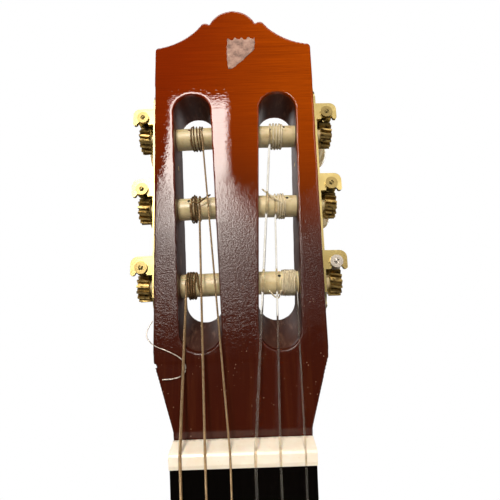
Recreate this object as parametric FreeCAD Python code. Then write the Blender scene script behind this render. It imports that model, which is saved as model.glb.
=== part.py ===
import FreeCAD, Part
import math
import os

# Classical guitar, hanging upright.  Millimetres.
# Origin: centre of the neck's upper face at the nut's front edge.
# +Z up the neck to the head, +Y from the soundboard to the back, +X to the treble side.

V = FreeCAD.Vector
os.makedirs("parts", exist_ok=True)

# ---- driving dimensions -------------------------------------------------------------
SCALE = 650.0                # nut to saddle, before the saddle's compensation
BODY_FRET = 12               # the body meets the neck here
FRET_COUNT = 19
NUT_WIDTH = 51.7
BOARD_END_WIDTH = 65.5
BOARD_NUT_THICK = 7.4        # the fingerboard tapers towards the sound hole
BOARD_END_THICK = 5.2
BOARD_END_Z = -437.0
NUT_LENGTH = 5.65
NUT_RISE = 1.5               # nut's ridge above the fingerboard
FRET_CROWN = 0.9

HEAD_ANGLE = 14.76           # degrees, head face to neck face
HEAD_THICK = 21.4
HEAD_BASE_V = 27.5           # V runs up the head face from the nut, W down into it
HEAD_BASE_X = 34.0           # the flare from the neck ends at these two
HEAD_LOW_V = 31.0
HEAD_LOW_X = 34.2
HEAD_TOP_V = 168.5
HEAD_TOP_X = 36.8
SLOT_WIDTH = 16.9
SLOT_MID_X = 18.1            # slot's centre line at V = 100
SLOT_SPLAY = 0.0374          # growth of that per mm of V
SLOT_TOP_V = 145.3
SLOT_BACK_V = 42.9           # slot's lower end on the back face
SLOT_LIP_V = 30.5            # string ramp's lip on the front face

ROLLER_V = (58.05, 93.05, 128.05)
ROLLER_W = 10.6
ROLLER_R = 5.0
RUN_FIT = 0.08               # radial clearance of what turns in a hole
TURN_PITCH = 0.95            # of a string's diameter, from one turn to the next
TURN_GAP = 0.01              # between the turns and the roller
PLATE_THICK = 1.5
PLATE_HALF = 7.2
PLATE_LOW_V = 53.0
PLATE_HIGH_V = 144.5
GEAR_TEETH = 14
GEAR_WORM_GAP = 7.8          # between the two axes
GEAR_PITCH_R = 5.25
GEAR_TIP_R = 6.0
GEAR_ROOT_R = 4.35
GEAR_INNER_U = 3.7           # U is the distance out from the head's edge
GEAR_WIDTH = 4.8
WORM_U = 6.1
WORM_CORE_R = 1.6
WORM_CREST_R = 3.2
WORM_SHAFT_R = 1.5
NOSE_R = 2.7                 # disc on the worm's front end
EAR_THICK = 1.5
EAR_CORNER_R = 3.2
EAR_HOOK_R = 1.0             # round end of the ear's outer leg
AXLE_R = 3.0                 # steel end of the roller, through the plate
PLATE_SCREW_R = 1.12
PILOT_R = 1.15               # its hole in the plate and the head
GEAR_SCREW_R = 1.2
GEAR_BORE_R = 1.25
BUTTON_W = 37.0              # centre of the button, behind the head
BUTTON_LONG = 10.6           # half its length, half its thickness and half its width
BUTTON_DEEP = 7.6
BUTTON_NARROW = 6.0
STEM_R = 3.1
STEM_LENGTH = 11.3           # from the button's centre towards the plate

BODY_LENGTH = 487.0
UPPER_HALF = 140.0
WAIST_HALF = 119.0
LOWER_HALF = 184.0
R_TOP = 230.0                # arc across the body's upper end
R_UPPER = 78.0
R_WAIST = 110.0
R_LOWER = 137.0
BOARD_THICK = 2.5            # soundboard
BACK_THICK = 2.5
SIDE_THICK = 2.0
BIND_HEIGHT = 5.0
BACK_APEX_Y = 104.0          # deepest point of the arched back
BACK_APEX_T = 330.0          # and how far it is below the body's upper end
BACK_RADIUS = 4500.0
LINING_WIDTH = 6.0
LINING_HEIGHT = 14.0
NECK_BLOCK_HALF = 36.0
NECK_BLOCK_LENGTH = 27.0
TAIL_BLOCK_HALF = 38.0
TAIL_BLOCK_LENGTH = 20.0
HEEL_END_Y = 88.9            # the cap is glued on here
HEEL_CAP_Y = 91.8
HOLE_T = 156.0               # sound hole's centre below the body's upper end
HOLE_R = 43.0
ROSETTE_IN = 46.5
ROSETTE_OUT = 61.0
ROSETTE_DEPTH = 1.2

SADDLE_Z = -651.5
SADDLE_TOP = 11.9
BRIDGE_FRONT_Z = -643.0
BRIDGE_BACK_Z = -671.0
BRIDGE_HALF = 95.0
BRIDGE_WING_TOP = 4.0
BLOCK_HALF = 42.0            # saddle block and tie block
BLOCK_TOP = 8.6
PIT_TOP = 3.6                # floor of the pit between the two blocks
PIT_FRONT_Z = -655.5
SADDLE_HALF = 40.0
SADDLE_HALF_THICK = 1.45
SADDLE_FOOT = 3.4
TIE_TOP = 8.8
TIE_FRONT_Z = -660.5
TIE_HOLE_Y = -5.0

NUT_SPREAD = 43.5            # outer string to outer string
SADDLE_SPREAD = 58.0
LOOSE_WIRE_D = 0.4

# name, diameter, roller (0 lowest), side, X where it meets its roller, X of last turn, turns
STRINGS = (
    ("e6", 1.10, 0, -1, -22.3, -19.0, 3),
    ("a5", 0.90, 1, -1, -16.8, -20.5, 4),
    ("d4", 0.75, 2, -1, -15.6, -20.4, 4),
    ("g3", 1.02, 2, 1, 16.1, 21.4, 5),
    ("b2", 0.82, 1, 1, 16.7, 21.1, 5),
    ("e1", 0.71, 0, 1, 23.9, 18.0, 8),
)

# how far each button was left turned, in degrees from lying straight across
BUTTON_TURNS = {"e6": -42.0, "a5": 90.0, "d4": 90.0, "g3": 86.0, "b2": 84.0, "e1": 42.0}

BETA = math.radians(HEAD_ANGLE)
SIN_B = math.sin(BETA)
COS_B = math.cos(BETA)
EDGE_SLOPE = (HEAD_TOP_X - HEAD_LOW_X) / (HEAD_TOP_V - HEAD_LOW_V)
EDGE_TURN = math.atan(EDGE_SLOPE)
BODY_Z = -SCALE * (1.0 - 2.0 ** (-BODY_FRET / 12.0))


# ---- helpers ------------------------------------------------------------------------
def head(x, v, w):
    """A point given across, up and into the head face."""
    return V(x, v * SIN_B + w * COS_B, NUT_LENGTH + v * COS_B - w * SIN_B)


def head_coords(p):
    """V and W of a point: the reverse of head()."""
    z = p.z - NUT_LENGTH
    return p.y * SIN_B + z * COS_B, p.y * COS_B - z * SIN_B


def frame_placement(origin, x_axis, y_axis, z_axis):
    m = FreeCAD.Matrix()
    m.A11, m.A21, m.A31 = x_axis.x, x_axis.y, x_axis.z
    m.A12, m.A22, m.A32 = y_axis.x, y_axis.y, y_axis.z
    m.A13, m.A23, m.A33 = z_axis.x, z_axis.y, z_axis.z
    m.A14, m.A24, m.A34 = origin.x, origin.y, origin.z
    return m


HEAD_MATRIX = frame_placement(head(0, 0, 0), V(1, 0, 0), V(0, COS_B, -SIN_B), V(0, SIN_B, COS_B))


def in_head(shape):
    """Place a shape drawn with x across, y into and z up the head face."""
    out = shape.copy()
    out.transformShape(HEAD_MATRIX)
    return out


def edge_x(v):
    return HEAD_LOW_X + (v - HEAD_LOW_V) * EDGE_SLOPE


def at_edge(shape, side, v):
    """Place a shape drawn with x = side * U, y = W and z up the head's edge from V = v."""
    x_axis = V(math.cos(EDGE_TURN), 0, -side * math.sin(EDGE_TURN))
    z_axis = V(side * math.sin(EDGE_TURN), 0, math.cos(EDGE_TURN))
    out = shape.copy()
    out.transformShape(frame_placement(V(side * edge_x(v), 0, v), x_axis, V(0, 1, 0), z_axis))
    return in_head(out)


def box(x0, x1, y0, y1, z0, z1):
    low = V(min(x0, x1), min(y0, y1), min(z0, z1))
    return Part.makeBox(abs(x1 - x0), abs(y1 - y0), abs(z1 - z0), low)


def rod(radius, start, end):
    along = end - start
    return Part.makeCylinder(radius, along.Length, start, along)


def polygon_face(points):
    return Part.Face(Part.makePolygon(list(points) + [points[0]]))


def arc(a, b, c):
    return Part.Arc(a, b, c).toShape()


def line(a, b):
    return Part.makeLine(a, b)


def unit(v):
    out = V(v)
    out.normalize()
    return out


def joined(shapes):
    return shapes[0].fuse(list(shapes[1:])).removeSplitter()


def route_wire(points, radii, report=None):
    """Straight runs joined by tangent arcs, one radius for each inner point."""
    edges = []
    start = points[0]
    used = []
    for i in range(1, len(points) - 1):
        corner = points[i]
        into = unit(corner - points[i - 1])
        away = unit(points[i + 1] - corner)
        turn = into.getAngle(away)
        back = radii[i - 1] * math.tan(turn / 2.0)
        a = corner - into * back
        b = corner + away * back
        rise = radii[i - 1] * (1.0 / math.cos(turn / 2.0) - 1.0)
        middle = corner + unit(away - into) * rise
        if (a - start).Length > 1e-6:
            edges.append(line(start, a))
        edges.append(arc(a, middle, b))
        used.append(round(radii[i - 1], 2))
        start = b
    edges.append(line(start, points[-1]))
    if report:
        print(report, "bend radii", used)
    return Part.Wire(edges)


def tube(wire, radius):
    first = wire.Edges[0]
    start = first.valueAt(first.FirstParameter)
    heading = first.tangentAt(first.FirstParameter)
    ring = Part.Wire(Part.makeCircle(radius, start, heading))
    out = wire.makePipeShell([ring], True, False)
    if out.Volume < 0:
        out.reverse()
    return out


def export(node, shape):
    """Write one node; more than one solid goes out as a compound."""
    solids = shape.Solids
    out = solids[0] if len(solids) == 1 else Part.makeCompound(solids)
    print("%-24s solids %2d  volume %10.2f  valid %s"
          % (node, len(solids), sum(s.Volume for s in solids), out.isValid()))
    out.exportStep("parts/%s.step" % node)


# ---- body outline: five tangent arcs a side -----------------------------------------
def outline_arcs():
    """Centres (x, t), radii and bulge (1 out, -1 in) of the arcs from upper end to tail."""
    x2 = UPPER_HALF - R_UPPER
    t2 = R_TOP - math.sqrt((R_TOP - R_UPPER) ** 2 - x2 ** 2)
    x3 = WAIST_HALF + R_WAIST
    t3 = t2 + math.sqrt((R_UPPER + R_WAIST) ** 2 - (x3 - x2) ** 2)
    x4 = LOWER_HALF - R_LOWER
    t4 = t3 + math.sqrt((R_WAIST + R_LOWER) ** 2 - (x3 - x4) ** 2)
    rest = t4 - BODY_LENGTH
    r_tail = (R_LOWER ** 2 - x4 ** 2 - rest ** 2) / (2.0 * (rest + R_LOWER))
    return ((0.0, R_TOP, R_TOP, 1), (x2, t2, R_UPPER, 1), (x3, t3, R_WAIST, -1),
            (x4, t4, R_LOWER, 1), (0.0, BODY_LENGTH - r_tail, r_tail, 1))


def outline_wire(inset, y):
    """The body's plan at height y, moved inwards by inset."""
    arcs = outline_arcs()
    joints = [(0.0, inset)]
    for i in range(4):
        # two arcs touch on the line through their centres, at the convex or larger one's radius
        a = arcs[i]
        b = arcs[i + 1]
        if b[3] < 0 or (a[3] > 0 and a[2] > b[2]):
            main, other = a, b
        else:
            main, other = b, a
        across = other[0] - main[0]
        down = other[1] - main[1]
        share = (main[2] - inset) / math.hypot(across, down)
        joints.append((main[0] + across * share, main[1] + down * share))
    joints.append((0.0, BODY_LENGTH - inset))
    edges = []
    for side in (1, -1):
        for i in range(5):
            cx, ct, r, k = arcs[i]
            r = r - inset * k
            p = joints[i]
            q = joints[i + 1]
            mx = p[0] + q[0] - 2 * cx
            mt = p[1] + q[1] - 2 * ct
            m = math.hypot(mx, mt)
            mid = (cx + mx / m * r, ct + mt / m * r)
            edges.append(arc(*[V(side * c[0], y, BODY_Z - c[1]) for c in (p, mid, q)]))
    return Part.Wire(Part.__sortEdges__(edges))


def outline_prism(inset, y0, y1):
    face = Part.Face(outline_wire(inset, y0))
    return face.extrude(V(0, y1 - y0, 0))


def rim(outer, inner, y0, y1):
    return outline_prism(outer, y0, y1).cut(outline_prism(inner, y0 - 1, y1 + 1))


def back_ball(depth):
    """Everything in front of the arched back, depth mm below its outer face."""
    centre = V(0, BACK_APEX_Y - BACK_RADIUS, BODY_Z - BACK_APEX_T)
    return Part.makeSphere(BACK_RADIUS - depth, centre, V(0, 0, 1))


OUTER_BALL = back_ball(0.0)
INNER_BALL = back_ball(BACK_THICK)
DEEP = 130.0                 # further back than the back
REAR = 50.0                  # between the front linings and the back ones


def body_block(half_width, t0, t1):
    """A block inside the rim, from the soundboard to the back."""
    rough = box(-half_width, half_width, BOARD_THICK, DEEP, BODY_Z - t0, BODY_Z - t1)
    return rough.common(outline_prism(SIDE_THICK, 0, DEEP)).common(INNER_BALL)


def bar(x0, x1, y0, y1, t0, t1):
    return box(x0, x1, y0, y1, BODY_Z - t0, BODY_Z - t1)


def make_soundboard():
    plate = outline_prism(SIDE_THICK, 0, BOARD_THICK)
    hole_z = BODY_Z - HOLE_T
    plate = plate.cut(rod(HOLE_R, V(0, -1, hole_z), V(0, 5, hole_z)))
    return plate.cut(ring_solid(ROSETTE_IN, ROSETTE_OUT, -1.0, ROSETTE_DEPTH))


def ring_solid(r_in, r_out, y0, y1):
    hole_z = BODY_Z - HOLE_T
    outer = rod(r_out, V(0, y0, hole_z), V(0, y1, hole_z))
    return outer.cut(rod(r_in, V(0, y0 - 1, hole_z), V(0, y1 + 1, hole_z)))


def make_body():
    export("soundboard", make_soundboard())
    export("rosette", ring_solid(ROSETTE_IN, ROSETTE_OUT, 0.0, ROSETTE_DEPTH))
    shell = outline_prism(SIDE_THICK, REAR, DEEP)
    export("back_plate", shell.common(OUTER_BALL).cut(INNER_BALL))
    bind_ball = back_ball(BIND_HEIGHT + 1.0)
    front_binding = rim(0, SIDE_THICK, 0, BIND_HEIGHT)
    back_binding = rim(0, SIDE_THICK, REAR, DEEP).common(OUTER_BALL).cut(bind_ball)
    export("bindings", Part.makeCompound([front_binding, back_binding]))
    side_ring = rim(0, SIDE_THICK, BIND_HEIGHT, DEEP).common(bind_ball)
    low = BODY_Z - BODY_LENGTH - 5
    export("side_bass", side_ring.common(box(-300, 0, 0, DEEP, low, BODY_Z + 5)))
    export("side_treble", side_ring.common(box(0, 300, 0, DEEP, low, BODY_Z + 5)))

    neck_block = body_block(NECK_BLOCK_HALF, 0, NECK_BLOCK_LENGTH)
    tail_block = body_block(TAIL_BLOCK_HALF, BODY_LENGTH - TAIL_BLOCK_LENGTH, BODY_LENGTH)
    export("neck_block", neck_block)
    export("tail_block", tail_block)
    blocks = neck_block.fuse(tail_block)
    inner = SIDE_THICK + LINING_WIDTH
    front_lining = rim(SIDE_THICK, inner, BOARD_THICK, BOARD_THICK + LINING_HEIGHT)
    ring = rim(SIDE_THICK, inner, REAR, DEEP).common(INNER_BALL)
    back_lining = ring.cut(back_ball(BACK_THICK + LINING_HEIGHT))
    linings = [s.cut(blocks) for s in (front_lining, back_lining)]
    export("linings", Part.makeCompound([s for lining in linings for s in lining.Solids]))
    make_braces(outline_prism(inner, 0, DEEP))


def strut(x0, t0, x1, t1, width, height):
    """A soundboard strut with scooped ends, from (x0, t0) to (x1, t1)."""
    run = math.hypot(x1 - x0, t1 - t0)
    taper = height * 2.5
    y = BOARD_THICK
    points = [V(0, y, 0), V(0, y + 1, 0), V(0, y + height, taper), V(0, y + height, run - taper),
              V(0, y + 1, run), V(0, y, run)]
    solid = polygon_face(points).extrude(V(width, 0, 0))
    solid.translate(V(-width / 2.0, 0, 0))
    turn = math.degrees(math.atan2(x1 - x0, -(t1 - t0)))
    solid.rotate(V(0, 0, 0), V(0, 1, 0), turn)
    solid.translate(V(x0, 0, BODY_Z - t0))
    return solid


def make_braces(room):
    """Soundboard and back bracing; room is the space inside the linings."""
    parts = []
    for t in (94.0, 212.0):
        parts.append(bar(-200, 200, BOARD_THICK, BOARD_THICK + 16, t, t + 6).common(room))
    for i in range(-3, 4):
        parts.append(strut(i * 15.0, 224.0, i * 36.0, 452.0 - 9.0 * i * i, 6.0, 5.0))
    export("soundboard_braces", Part.makeCompound(parts))

    strip = bar(-8, 8, REAR, DEEP, 30, 464).common(INNER_BALL).cut(back_ball(BACK_THICK + 2.5))
    bars = []
    for t in (92.0, 214.0, 350.0):
        solid = bar(-200, 200, 60, DEEP, t, t + 8).common(room).common(INNER_BALL)
        bars.append(solid.cut(back_ball(BACK_THICK + 15)))
    for solid in bars:
        strip = strip.cut(solid)
    export("back_braces", Part.makeCompound(strip.Solids + bars))


# ---- bridge ---------------------------------------------------------------------------
def make_bridge():
    z0 = BRIDGE_FRONT_Z
    z1 = BRIDGE_BACK_Z
    wing = box(-BRIDGE_HALF, BRIDGE_HALF, 0, -BRIDGE_WING_TOP, z0, z1)
    long_edges = [e for e in wing.Edges
                  if abs(e.BoundBox.XLength) > 100 and e.BoundBox.YMax < 0.1 - BRIDGE_WING_TOP]
    wing = wing.makeFillet(1.6, long_edges)
    section = ((0, z0), (-5.0, z0), (-BLOCK_TOP, z0 - 5), (-BLOCK_TOP, PIT_FRONT_Z),
               (-PIT_TOP, PIT_FRONT_Z), (-PIT_TOP, TIE_FRONT_Z), (-TIE_TOP, TIE_FRONT_Z),
               (-TIE_TOP, z1 + 0.6), (-TIE_TOP + 0.6, z1), (0, z1))
    centre = polygon_face([V(-BLOCK_HALF, y, z) for y, z in section])
    body = joined([centre.extrude(V(2 * BLOCK_HALF, 0, 0)), wing])
    body = body.cut(box(-BLOCK_HALF, BLOCK_HALF, -PIT_TOP, -20, PIT_FRONT_Z, TIE_FRONT_Z))
    half = SADDLE_HALF_THICK
    body = body.cut(box(-SADDLE_HALF, SADDLE_HALF, -SADDLE_FOOT, -20, SADDLE_Z - half,
                        SADDLE_Z + half))
    for spec in STRINGS:
        x = saddle_x(spec[0])
        hole_r = spec[1] / 2 + 0.25
        body = body.cut(rod(hole_r, V(x, TIE_HOLE_Y, TIE_FRONT_Z + 3), V(x, TIE_HOLE_Y, z1 - 3)))
    export("bridge", body)

    top = -SADDLE_TOP
    a = V(-SADDLE_HALF, -SADDLE_FOOT, SADDLE_Z - half)
    b = V(-SADDLE_HALF, top + half, SADDLE_Z - half)
    c = V(-SADDLE_HALF, top, SADDLE_Z)
    d = V(-SADDLE_HALF, top + half, SADDLE_Z + half)
    e = V(-SADDLE_HALF, -SADDLE_FOOT, SADDLE_Z + half)
    face = Part.Face(Part.Wire([line(a, b), arc(b, c, d), line(d, e), line(e, a)]))
    export("saddle", face.extrude(V(2 * SADDLE_HALF, 0, 0)))


# ---- neck, head and fingerboard -------------------------------------------------------
def board_half(z):
    grow = (BOARD_END_WIDTH - NUT_WIDTH) / 2.0 / BOARD_END_Z
    return NUT_WIDTH / 2.0 + grow * z


def board_thick(z):
    return BOARD_NUT_THICK + (BOARD_END_THICK - BOARD_NUT_THICK) * z / BOARD_END_Z


def round_section(half, depth, power, place):
    """Half of a rounded section, flat side up; place turns (across, down) into a point."""
    points = []
    for i in range(17):
        a = math.pi * i / 16.0
        x = half * math.copysign(abs(math.cos(a)) ** (2.0 / power), math.cos(a))
        d = depth * abs(math.sin(a)) ** (2.0 / power)
        points.append(place(x, d))
    curve = Part.BSplineCurve()
    curve.interpolate(points)
    return Part.Wire([curve.toShape(), line(points[-1], points[0])])


def neck_solid():
    """The neck's shaft, tail end first, and the flare that joins it to the head."""
    shaft = []
    for z, depth, power in ((-345, 19.5, 2.1), (-230, 18.2, 2.1), (-120, 16.6, 2.15),
                            (-30, 15.6, 2.2), (0.0, 16.0, 2.3)):
        half = board_half(z)
        shaft.append(round_section(half, depth, power, lambda x, d, z=z: V(x, d, z)))
    shaft_solid = Part.makeLoft(shaft, True, False)
    flare = [shaft[-1]]
    for v, half, depth, power in ((3.0, 26.1, 17.2, 2.5), (9.0, 28.0, 19.0, 3.2),
                                  (20.0, 31.5, 20.8, 6.0),
                                  (HEAD_BASE_V, HEAD_BASE_X, 21.3, 14.0)):
        flare.append(round_section(half, depth, power, lambda x, d, v=v: head(x, v, d)))
    flare_solid = Part.makeLoft(flare, True, True)
    return shaft_solid, flare_solid


def heel_solid():
    """The heel, from under the fingerboard to the back; each section is half an ellipse."""
    sections = []
    for y, half, reach in ((6, 30.3, 44.0), (22, 24.0, 28.0), (45, 17.0, 19.0),
                           (70, 13.0, 14.5), (91.5, 11.0, 12.0)):
        points = []
        for i in range(13):
            a = math.pi * i / 12.0
            points.append(V(half * math.cos(a), y, BODY_Z + reach * math.sin(a)))
        curve = Part.BSplineCurve()
        curve.interpolate(points)
        low_a = V(-half, y, BODY_Z - 8)
        low_b = V(half, y, BODY_Z - 8)
        sections.append(Part.Wire([curve.toShape(), line(points[-1], low_a),
                                   line(low_a, low_b), line(low_b, points[0])]))
    return Part.makeLoft(sections, True, False)


def head_outline():
    """The head's plan above the flare; x across and z up."""
    def p(x, z):
        return V(x, 0, z)

    half = [
        line(p(HEAD_BASE_X, HEAD_BASE_V), p(HEAD_LOW_X, HEAD_LOW_V)),
        line(p(HEAD_LOW_X, HEAD_LOW_V), p(HEAD_TOP_X, HEAD_TOP_V)),
        arc(p(HEAD_TOP_X, HEAD_TOP_V), p(36.4, 169.9), p(35.0, 170.6)),
        arc(p(35.0, 170.6), p(24.4, 174.4), p(15.4, 182.3)),
        arc(p(15.4, 182.3), p(13.2, 183.9), p(11.0, 182.7)),
    ]
    mirror = [e.mirror(V(0, 0, 0), V(1, 0, 0)) for e in half]
    dome = arc(p(11.0, 182.7), p(0.0, 190.4), p(-11.0, 182.7))
    base = line(p(-HEAD_BASE_X, HEAD_BASE_V), p(HEAD_BASE_X, HEAD_BASE_V))
    return Part.Wire(Part.__sortEdges__(half + [dome] + mirror + [base]))


def slot_cutter(side):
    """One string slot: straight walls, round ends, and the sloped ramp at its lower end."""
    r = SLOT_WIDTH / 2.0

    def mid(v):
        return side * (SLOT_MID_X + (v - 100.0) * SLOT_SPLAY)

    def pill(v0, v1, drop):
        y0 = -1.0
        x0 = mid(v0)
        x1 = mid(v1)
        a = V(x0 - r, y0, v0)
        b = V(x0 + r, y0, v0)
        c = V(x1 + r, y0, v1)
        d = V(x1 - r, y0, v1)
        low = arc(a, V(x0, y0, v0 - r), b)
        high = arc(c, V(x1, y0, v1 + r), d)
        face = Part.Face(Part.Wire([low, line(b, c), high, line(d, a)]))
        return face.extrude(drop)

    deep = HEAD_THICK + 2
    through = pill(SLOT_BACK_V + r, SLOT_TOP_V - r, V(0, deep, 0))
    lean = (SLOT_BACK_V - SLOT_LIP_V) / HEAD_THICK
    start = SLOT_LIP_V + r - lean
    ramp = pill(start, start + 22.0, V(side * SLOT_SPLAY * lean * deep, deep, lean * deep))
    return through.fuse(ramp).removeSplitter()


def make_neck_and_head():
    shaft, flare = neck_solid()
    slab = Part.Face(head_outline()).extrude(V(0, HEAD_THICK, 0))
    slab = slab.cut([slot_cutter(side) for side in (-1, 1)])
    slab = in_head(slab)
    for side in (-1, 1):
        for v in ROLLER_V:
            inner = side * (3.4 - edge_x(v))
            hole = rod(ROLLER_R + RUN_FIT, V(inner, ROLLER_W, 0), V(side * 3.0, ROLLER_W, 0))
            slab = slab.cut(at_edge(hole, side, v))
            for z in SCREW_OFFSETS[v]:
                pilot = rod(PILOT_R, V(side * -9.0, ROLLER_W, z), V(side * 2.0, ROLLER_W, z))
                slab = slab.cut(at_edge(pilot, side, v))
    whole = joined([shaft, flare, slab])
    heel = heel_solid()
    body = outline_prism(0, -1, DEEP)
    reach = box(-60, 60, -1, HEEL_END_Y, BODY_Z - 20, 20)
    cap = heel.common(box(-60, 60, HEEL_END_Y, HEEL_CAP_Y, BODY_Z - 20, 0)).cut(body)
    whole = joined([whole, heel.common(reach)]).cut(body)
    # the head is glued on with a long slanted joint that starts under the nut
    split = polygon_face([V(-80, -10, 40.5), V(-80, 40, -147), V(-80, 200, -147), V(-80, 200, 300),
                          V(-80, -10, 300)]).extrude(V(160, 0, 0))
    neck = whole.cut(split)
    headstock = whole.common(split)
    export("neck", neck)
    export("headstock", headstock)
    export("heel_cap", cap)


# positions of the plate's screws, measured up from the roller that each is nearest to
SCREW_OFFSETS = {ROLLER_V[0]: (-9.6, 20.5), ROLLER_V[1]: (20.5,), ROLLER_V[2]: (19.2,)}


def fret_z(n):
    return -SCALE * (1.0 - 2.0 ** (-n / 12.0))


def make_fingerboard():
    z1 = BOARD_END_Z
    low = polygon_face([V(-board_half(0), 0, 0), V(board_half(0), 0, 0),
                        V(board_half(z1), 0, z1), V(-board_half(z1), 0, z1)])
    rough = low.extrude(V(0, -BOARD_NUT_THICK, 0))
    side = polygon_face([V(-50, 0, 0), V(-50, -BOARD_NUT_THICK, 0), V(-50, -BOARD_END_THICK, z1),
                         V(-50, 0, z1)])
    board = rough.common(side.extrude(V(100, 0, 0)))
    frets = []
    slots = []
    for n in range(1, FRET_COUNT + 1):
        z = fret_z(n)
        half = board_half(z)
        top = -board_thick(z)
        slots.append(box(-half - 1, half + 1, top - 1, top + 1.9, z - 0.3, z + 0.3))
        a = V(-half + 0.2, top, z - 1.2)
        b = V(-half + 0.2, top - FRET_CROWN, z)
        c = V(-half + 0.2, top, z + 1.2)
        crown = Part.Face(Part.Wire([arc(a, b, c), line(c, a)])).extrude(V(2 * half - 0.4, 0, 0))
        lift = board_thick(z - 1.2) - board_thick(z)
        crown.translate(V(0, min(0.0, lift) - 0.004, 0))
        tang = box(-half + 0.6, half - 0.6, top - 0.2, top + 1.8, z - 0.28, z + 0.28)
        frets.append(crown.fuse(tang))
    export("fingerboard", board.cut(slots))
    export("frets", Part.makeCompound([s for f in frets for s in f.Solids]))


# ---- nut and strings ------------------------------------------------------------------
def string_index(name):
    return [s[0] for s in STRINGS].index(name)


def nut_x(name):
    return NUT_SPREAD * (string_index(name) / 5.0 - 0.5)


def saddle_x(name):
    return SADDLE_SPREAD * (string_index(name) / 5.0 - 0.5)


def string_route(spec):
    """Corner points and bend radii from the tie block to the roller."""
    r = spec[1] / 2.0
    xs = saddle_x(spec[0])
    top = -(TIE_TOP + r + 0.08)
    back = BRIDGE_BACK_Z - r - 0.4
    nut = V(nut_x(spec[0]), -(BOARD_NUT_THICK + 0.95 + r), 4.6)
    points = [V(xs, top, TIE_FRONT_Z - 2.0), V(xs, top, back), V(xs, TIE_HOLE_Y, back),
              V(xs, TIE_HOLE_Y, TIE_FRONT_Z + 0.2), V(xs, -(SADDLE_TOP + r + 0.25), SADDLE_Z), nut,
              roller_tangent(spec, nut)]
    half_rise = abs(top - TIE_HOLE_Y) / 2.0
    return points, [half_rise * 0.9, half_rise * 0.9, 2.2, 3.0, 6.0]


def roller_tangent(spec, nut):
    """Where a string from the nut first touches the front of its roller."""
    reach = ROLLER_R + spec[1] / 2.0
    x_on = spec[4]
    v, w = head_coords(nut)
    v_axis = roller_axis_v(spec[2], x_on)
    dv = v_axis - v
    dw = ROLLER_W - w
    far = math.hypot(dv, dw)
    angle = math.atan2(dw, dv) - math.asin(reach / far)
    run = math.sqrt(far ** 2 - reach ** 2)
    return head(x_on, v + run * math.cos(angle), w + run * math.sin(angle))


def roller_axis_v(k, x):
    """The roller leans with the head's edge, so its height depends on X."""
    return ROLLER_V[k] + (edge_x(ROLLER_V[k]) - abs(x)) * math.tan(EDGE_TURN)


def make_strings():
    tubes = []
    for spec in STRINGS:
        name, d, k, side = spec[:4]
        points, radii = string_route(spec)
        wire = route_wire(points, radii)
        solid = tube(wire, d / 2.0)
        clear = rod(ROLLER_R + d + 0.05, V(side * -40, ROLLER_W, 0), V(side * 4, ROLLER_W, 0))
        solid = solid.cut(at_edge(clear, side, ROLLER_V[k]))
        expected = wire.Length * math.pi * d * d / 4.0
        print("string", name, "length", round(wire.Length, 1), "volume ratio",
              round(solid.Volume / expected, 3))
        export("string_" + name, solid)
        tubes.append((wire, d))
    return tubes


def make_nut(tubes):
    half = NUT_WIDTH / 2.0
    ridge = -(BOARD_NUT_THICK + NUT_RISE)
    points = [V(-half, 0, 0), V(-half, ridge + 0.4, 0), V(-half, ridge, 1.6), V(-half, ridge, 4.8),
              V(-half, ridge + 0.5, 5.5), V(-half, ridge + 1.5, NUT_LENGTH),
              V(-half, 0, NUT_LENGTH)]
    nut = polygon_face(points).extrude(V(NUT_WIDTH, 0, 0))
    for wire, d in tubes:
        slot = tube(wire, d / 2.0 + 0.05).common(box(-40, 40, -20, 5, -4, 12))
        nut = nut.cut(slot)
        for rise in (0.35, 0.7):
            higher = slot.copy()
            higher.translate(V(0, -rise, 0))
            nut = nut.cut(higher)
    export("nut", nut)


# ---- tuners ---------------------------------------------------------------------------
def ear(side, w0):
    """A lug bent out from the plate: a hook, open below, that holds the worm's shaft."""
    z = GEAR_WORM_GAP
    out = WORM_U + 4.7
    top = z + 4.9
    low = z - 3.2
    gap = 1.9
    bend = EAR_CORNER_R
    sagitta = bend * (1.0 - math.sqrt(0.5))
    hook = EAR_HOOK_R

    def p(u, up):
        return V(side * u, w0, up)

    edges = [
        line(p(0.5, top), p(out - bend, top)),
        arc(p(out - bend, top), p(out - sagitta, top - sagitta), p(out, top - bend)),
        line(p(out, top - bend), p(out, low + hook)),
        arc(p(out, low + hook), p(out - hook, low), p(out - 2 * hook, low + hook)),
        line(p(out - 2 * hook, low + hook), p(WORM_U + gap, z - gap)),
        line(p(WORM_U + gap, z - gap), p(WORM_U - gap, z - gap)),
        line(p(WORM_U - gap, z - gap), p(WORM_U - 2.4, low)),
        line(p(WORM_U - 2.4, low), p(0.5, low)),
        line(p(0.5, low), p(0.5, top)),
    ]
    lug = Part.Face(Part.Wire(edges)).extrude(V(0, EAR_THICK, 0))
    hole = rod(WORM_SHAFT_R + RUN_FIT, V(side * WORM_U, w0 - 1, z), V(side * WORM_U, w0 + 3, z))
    return lug.cut(hole)


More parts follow.
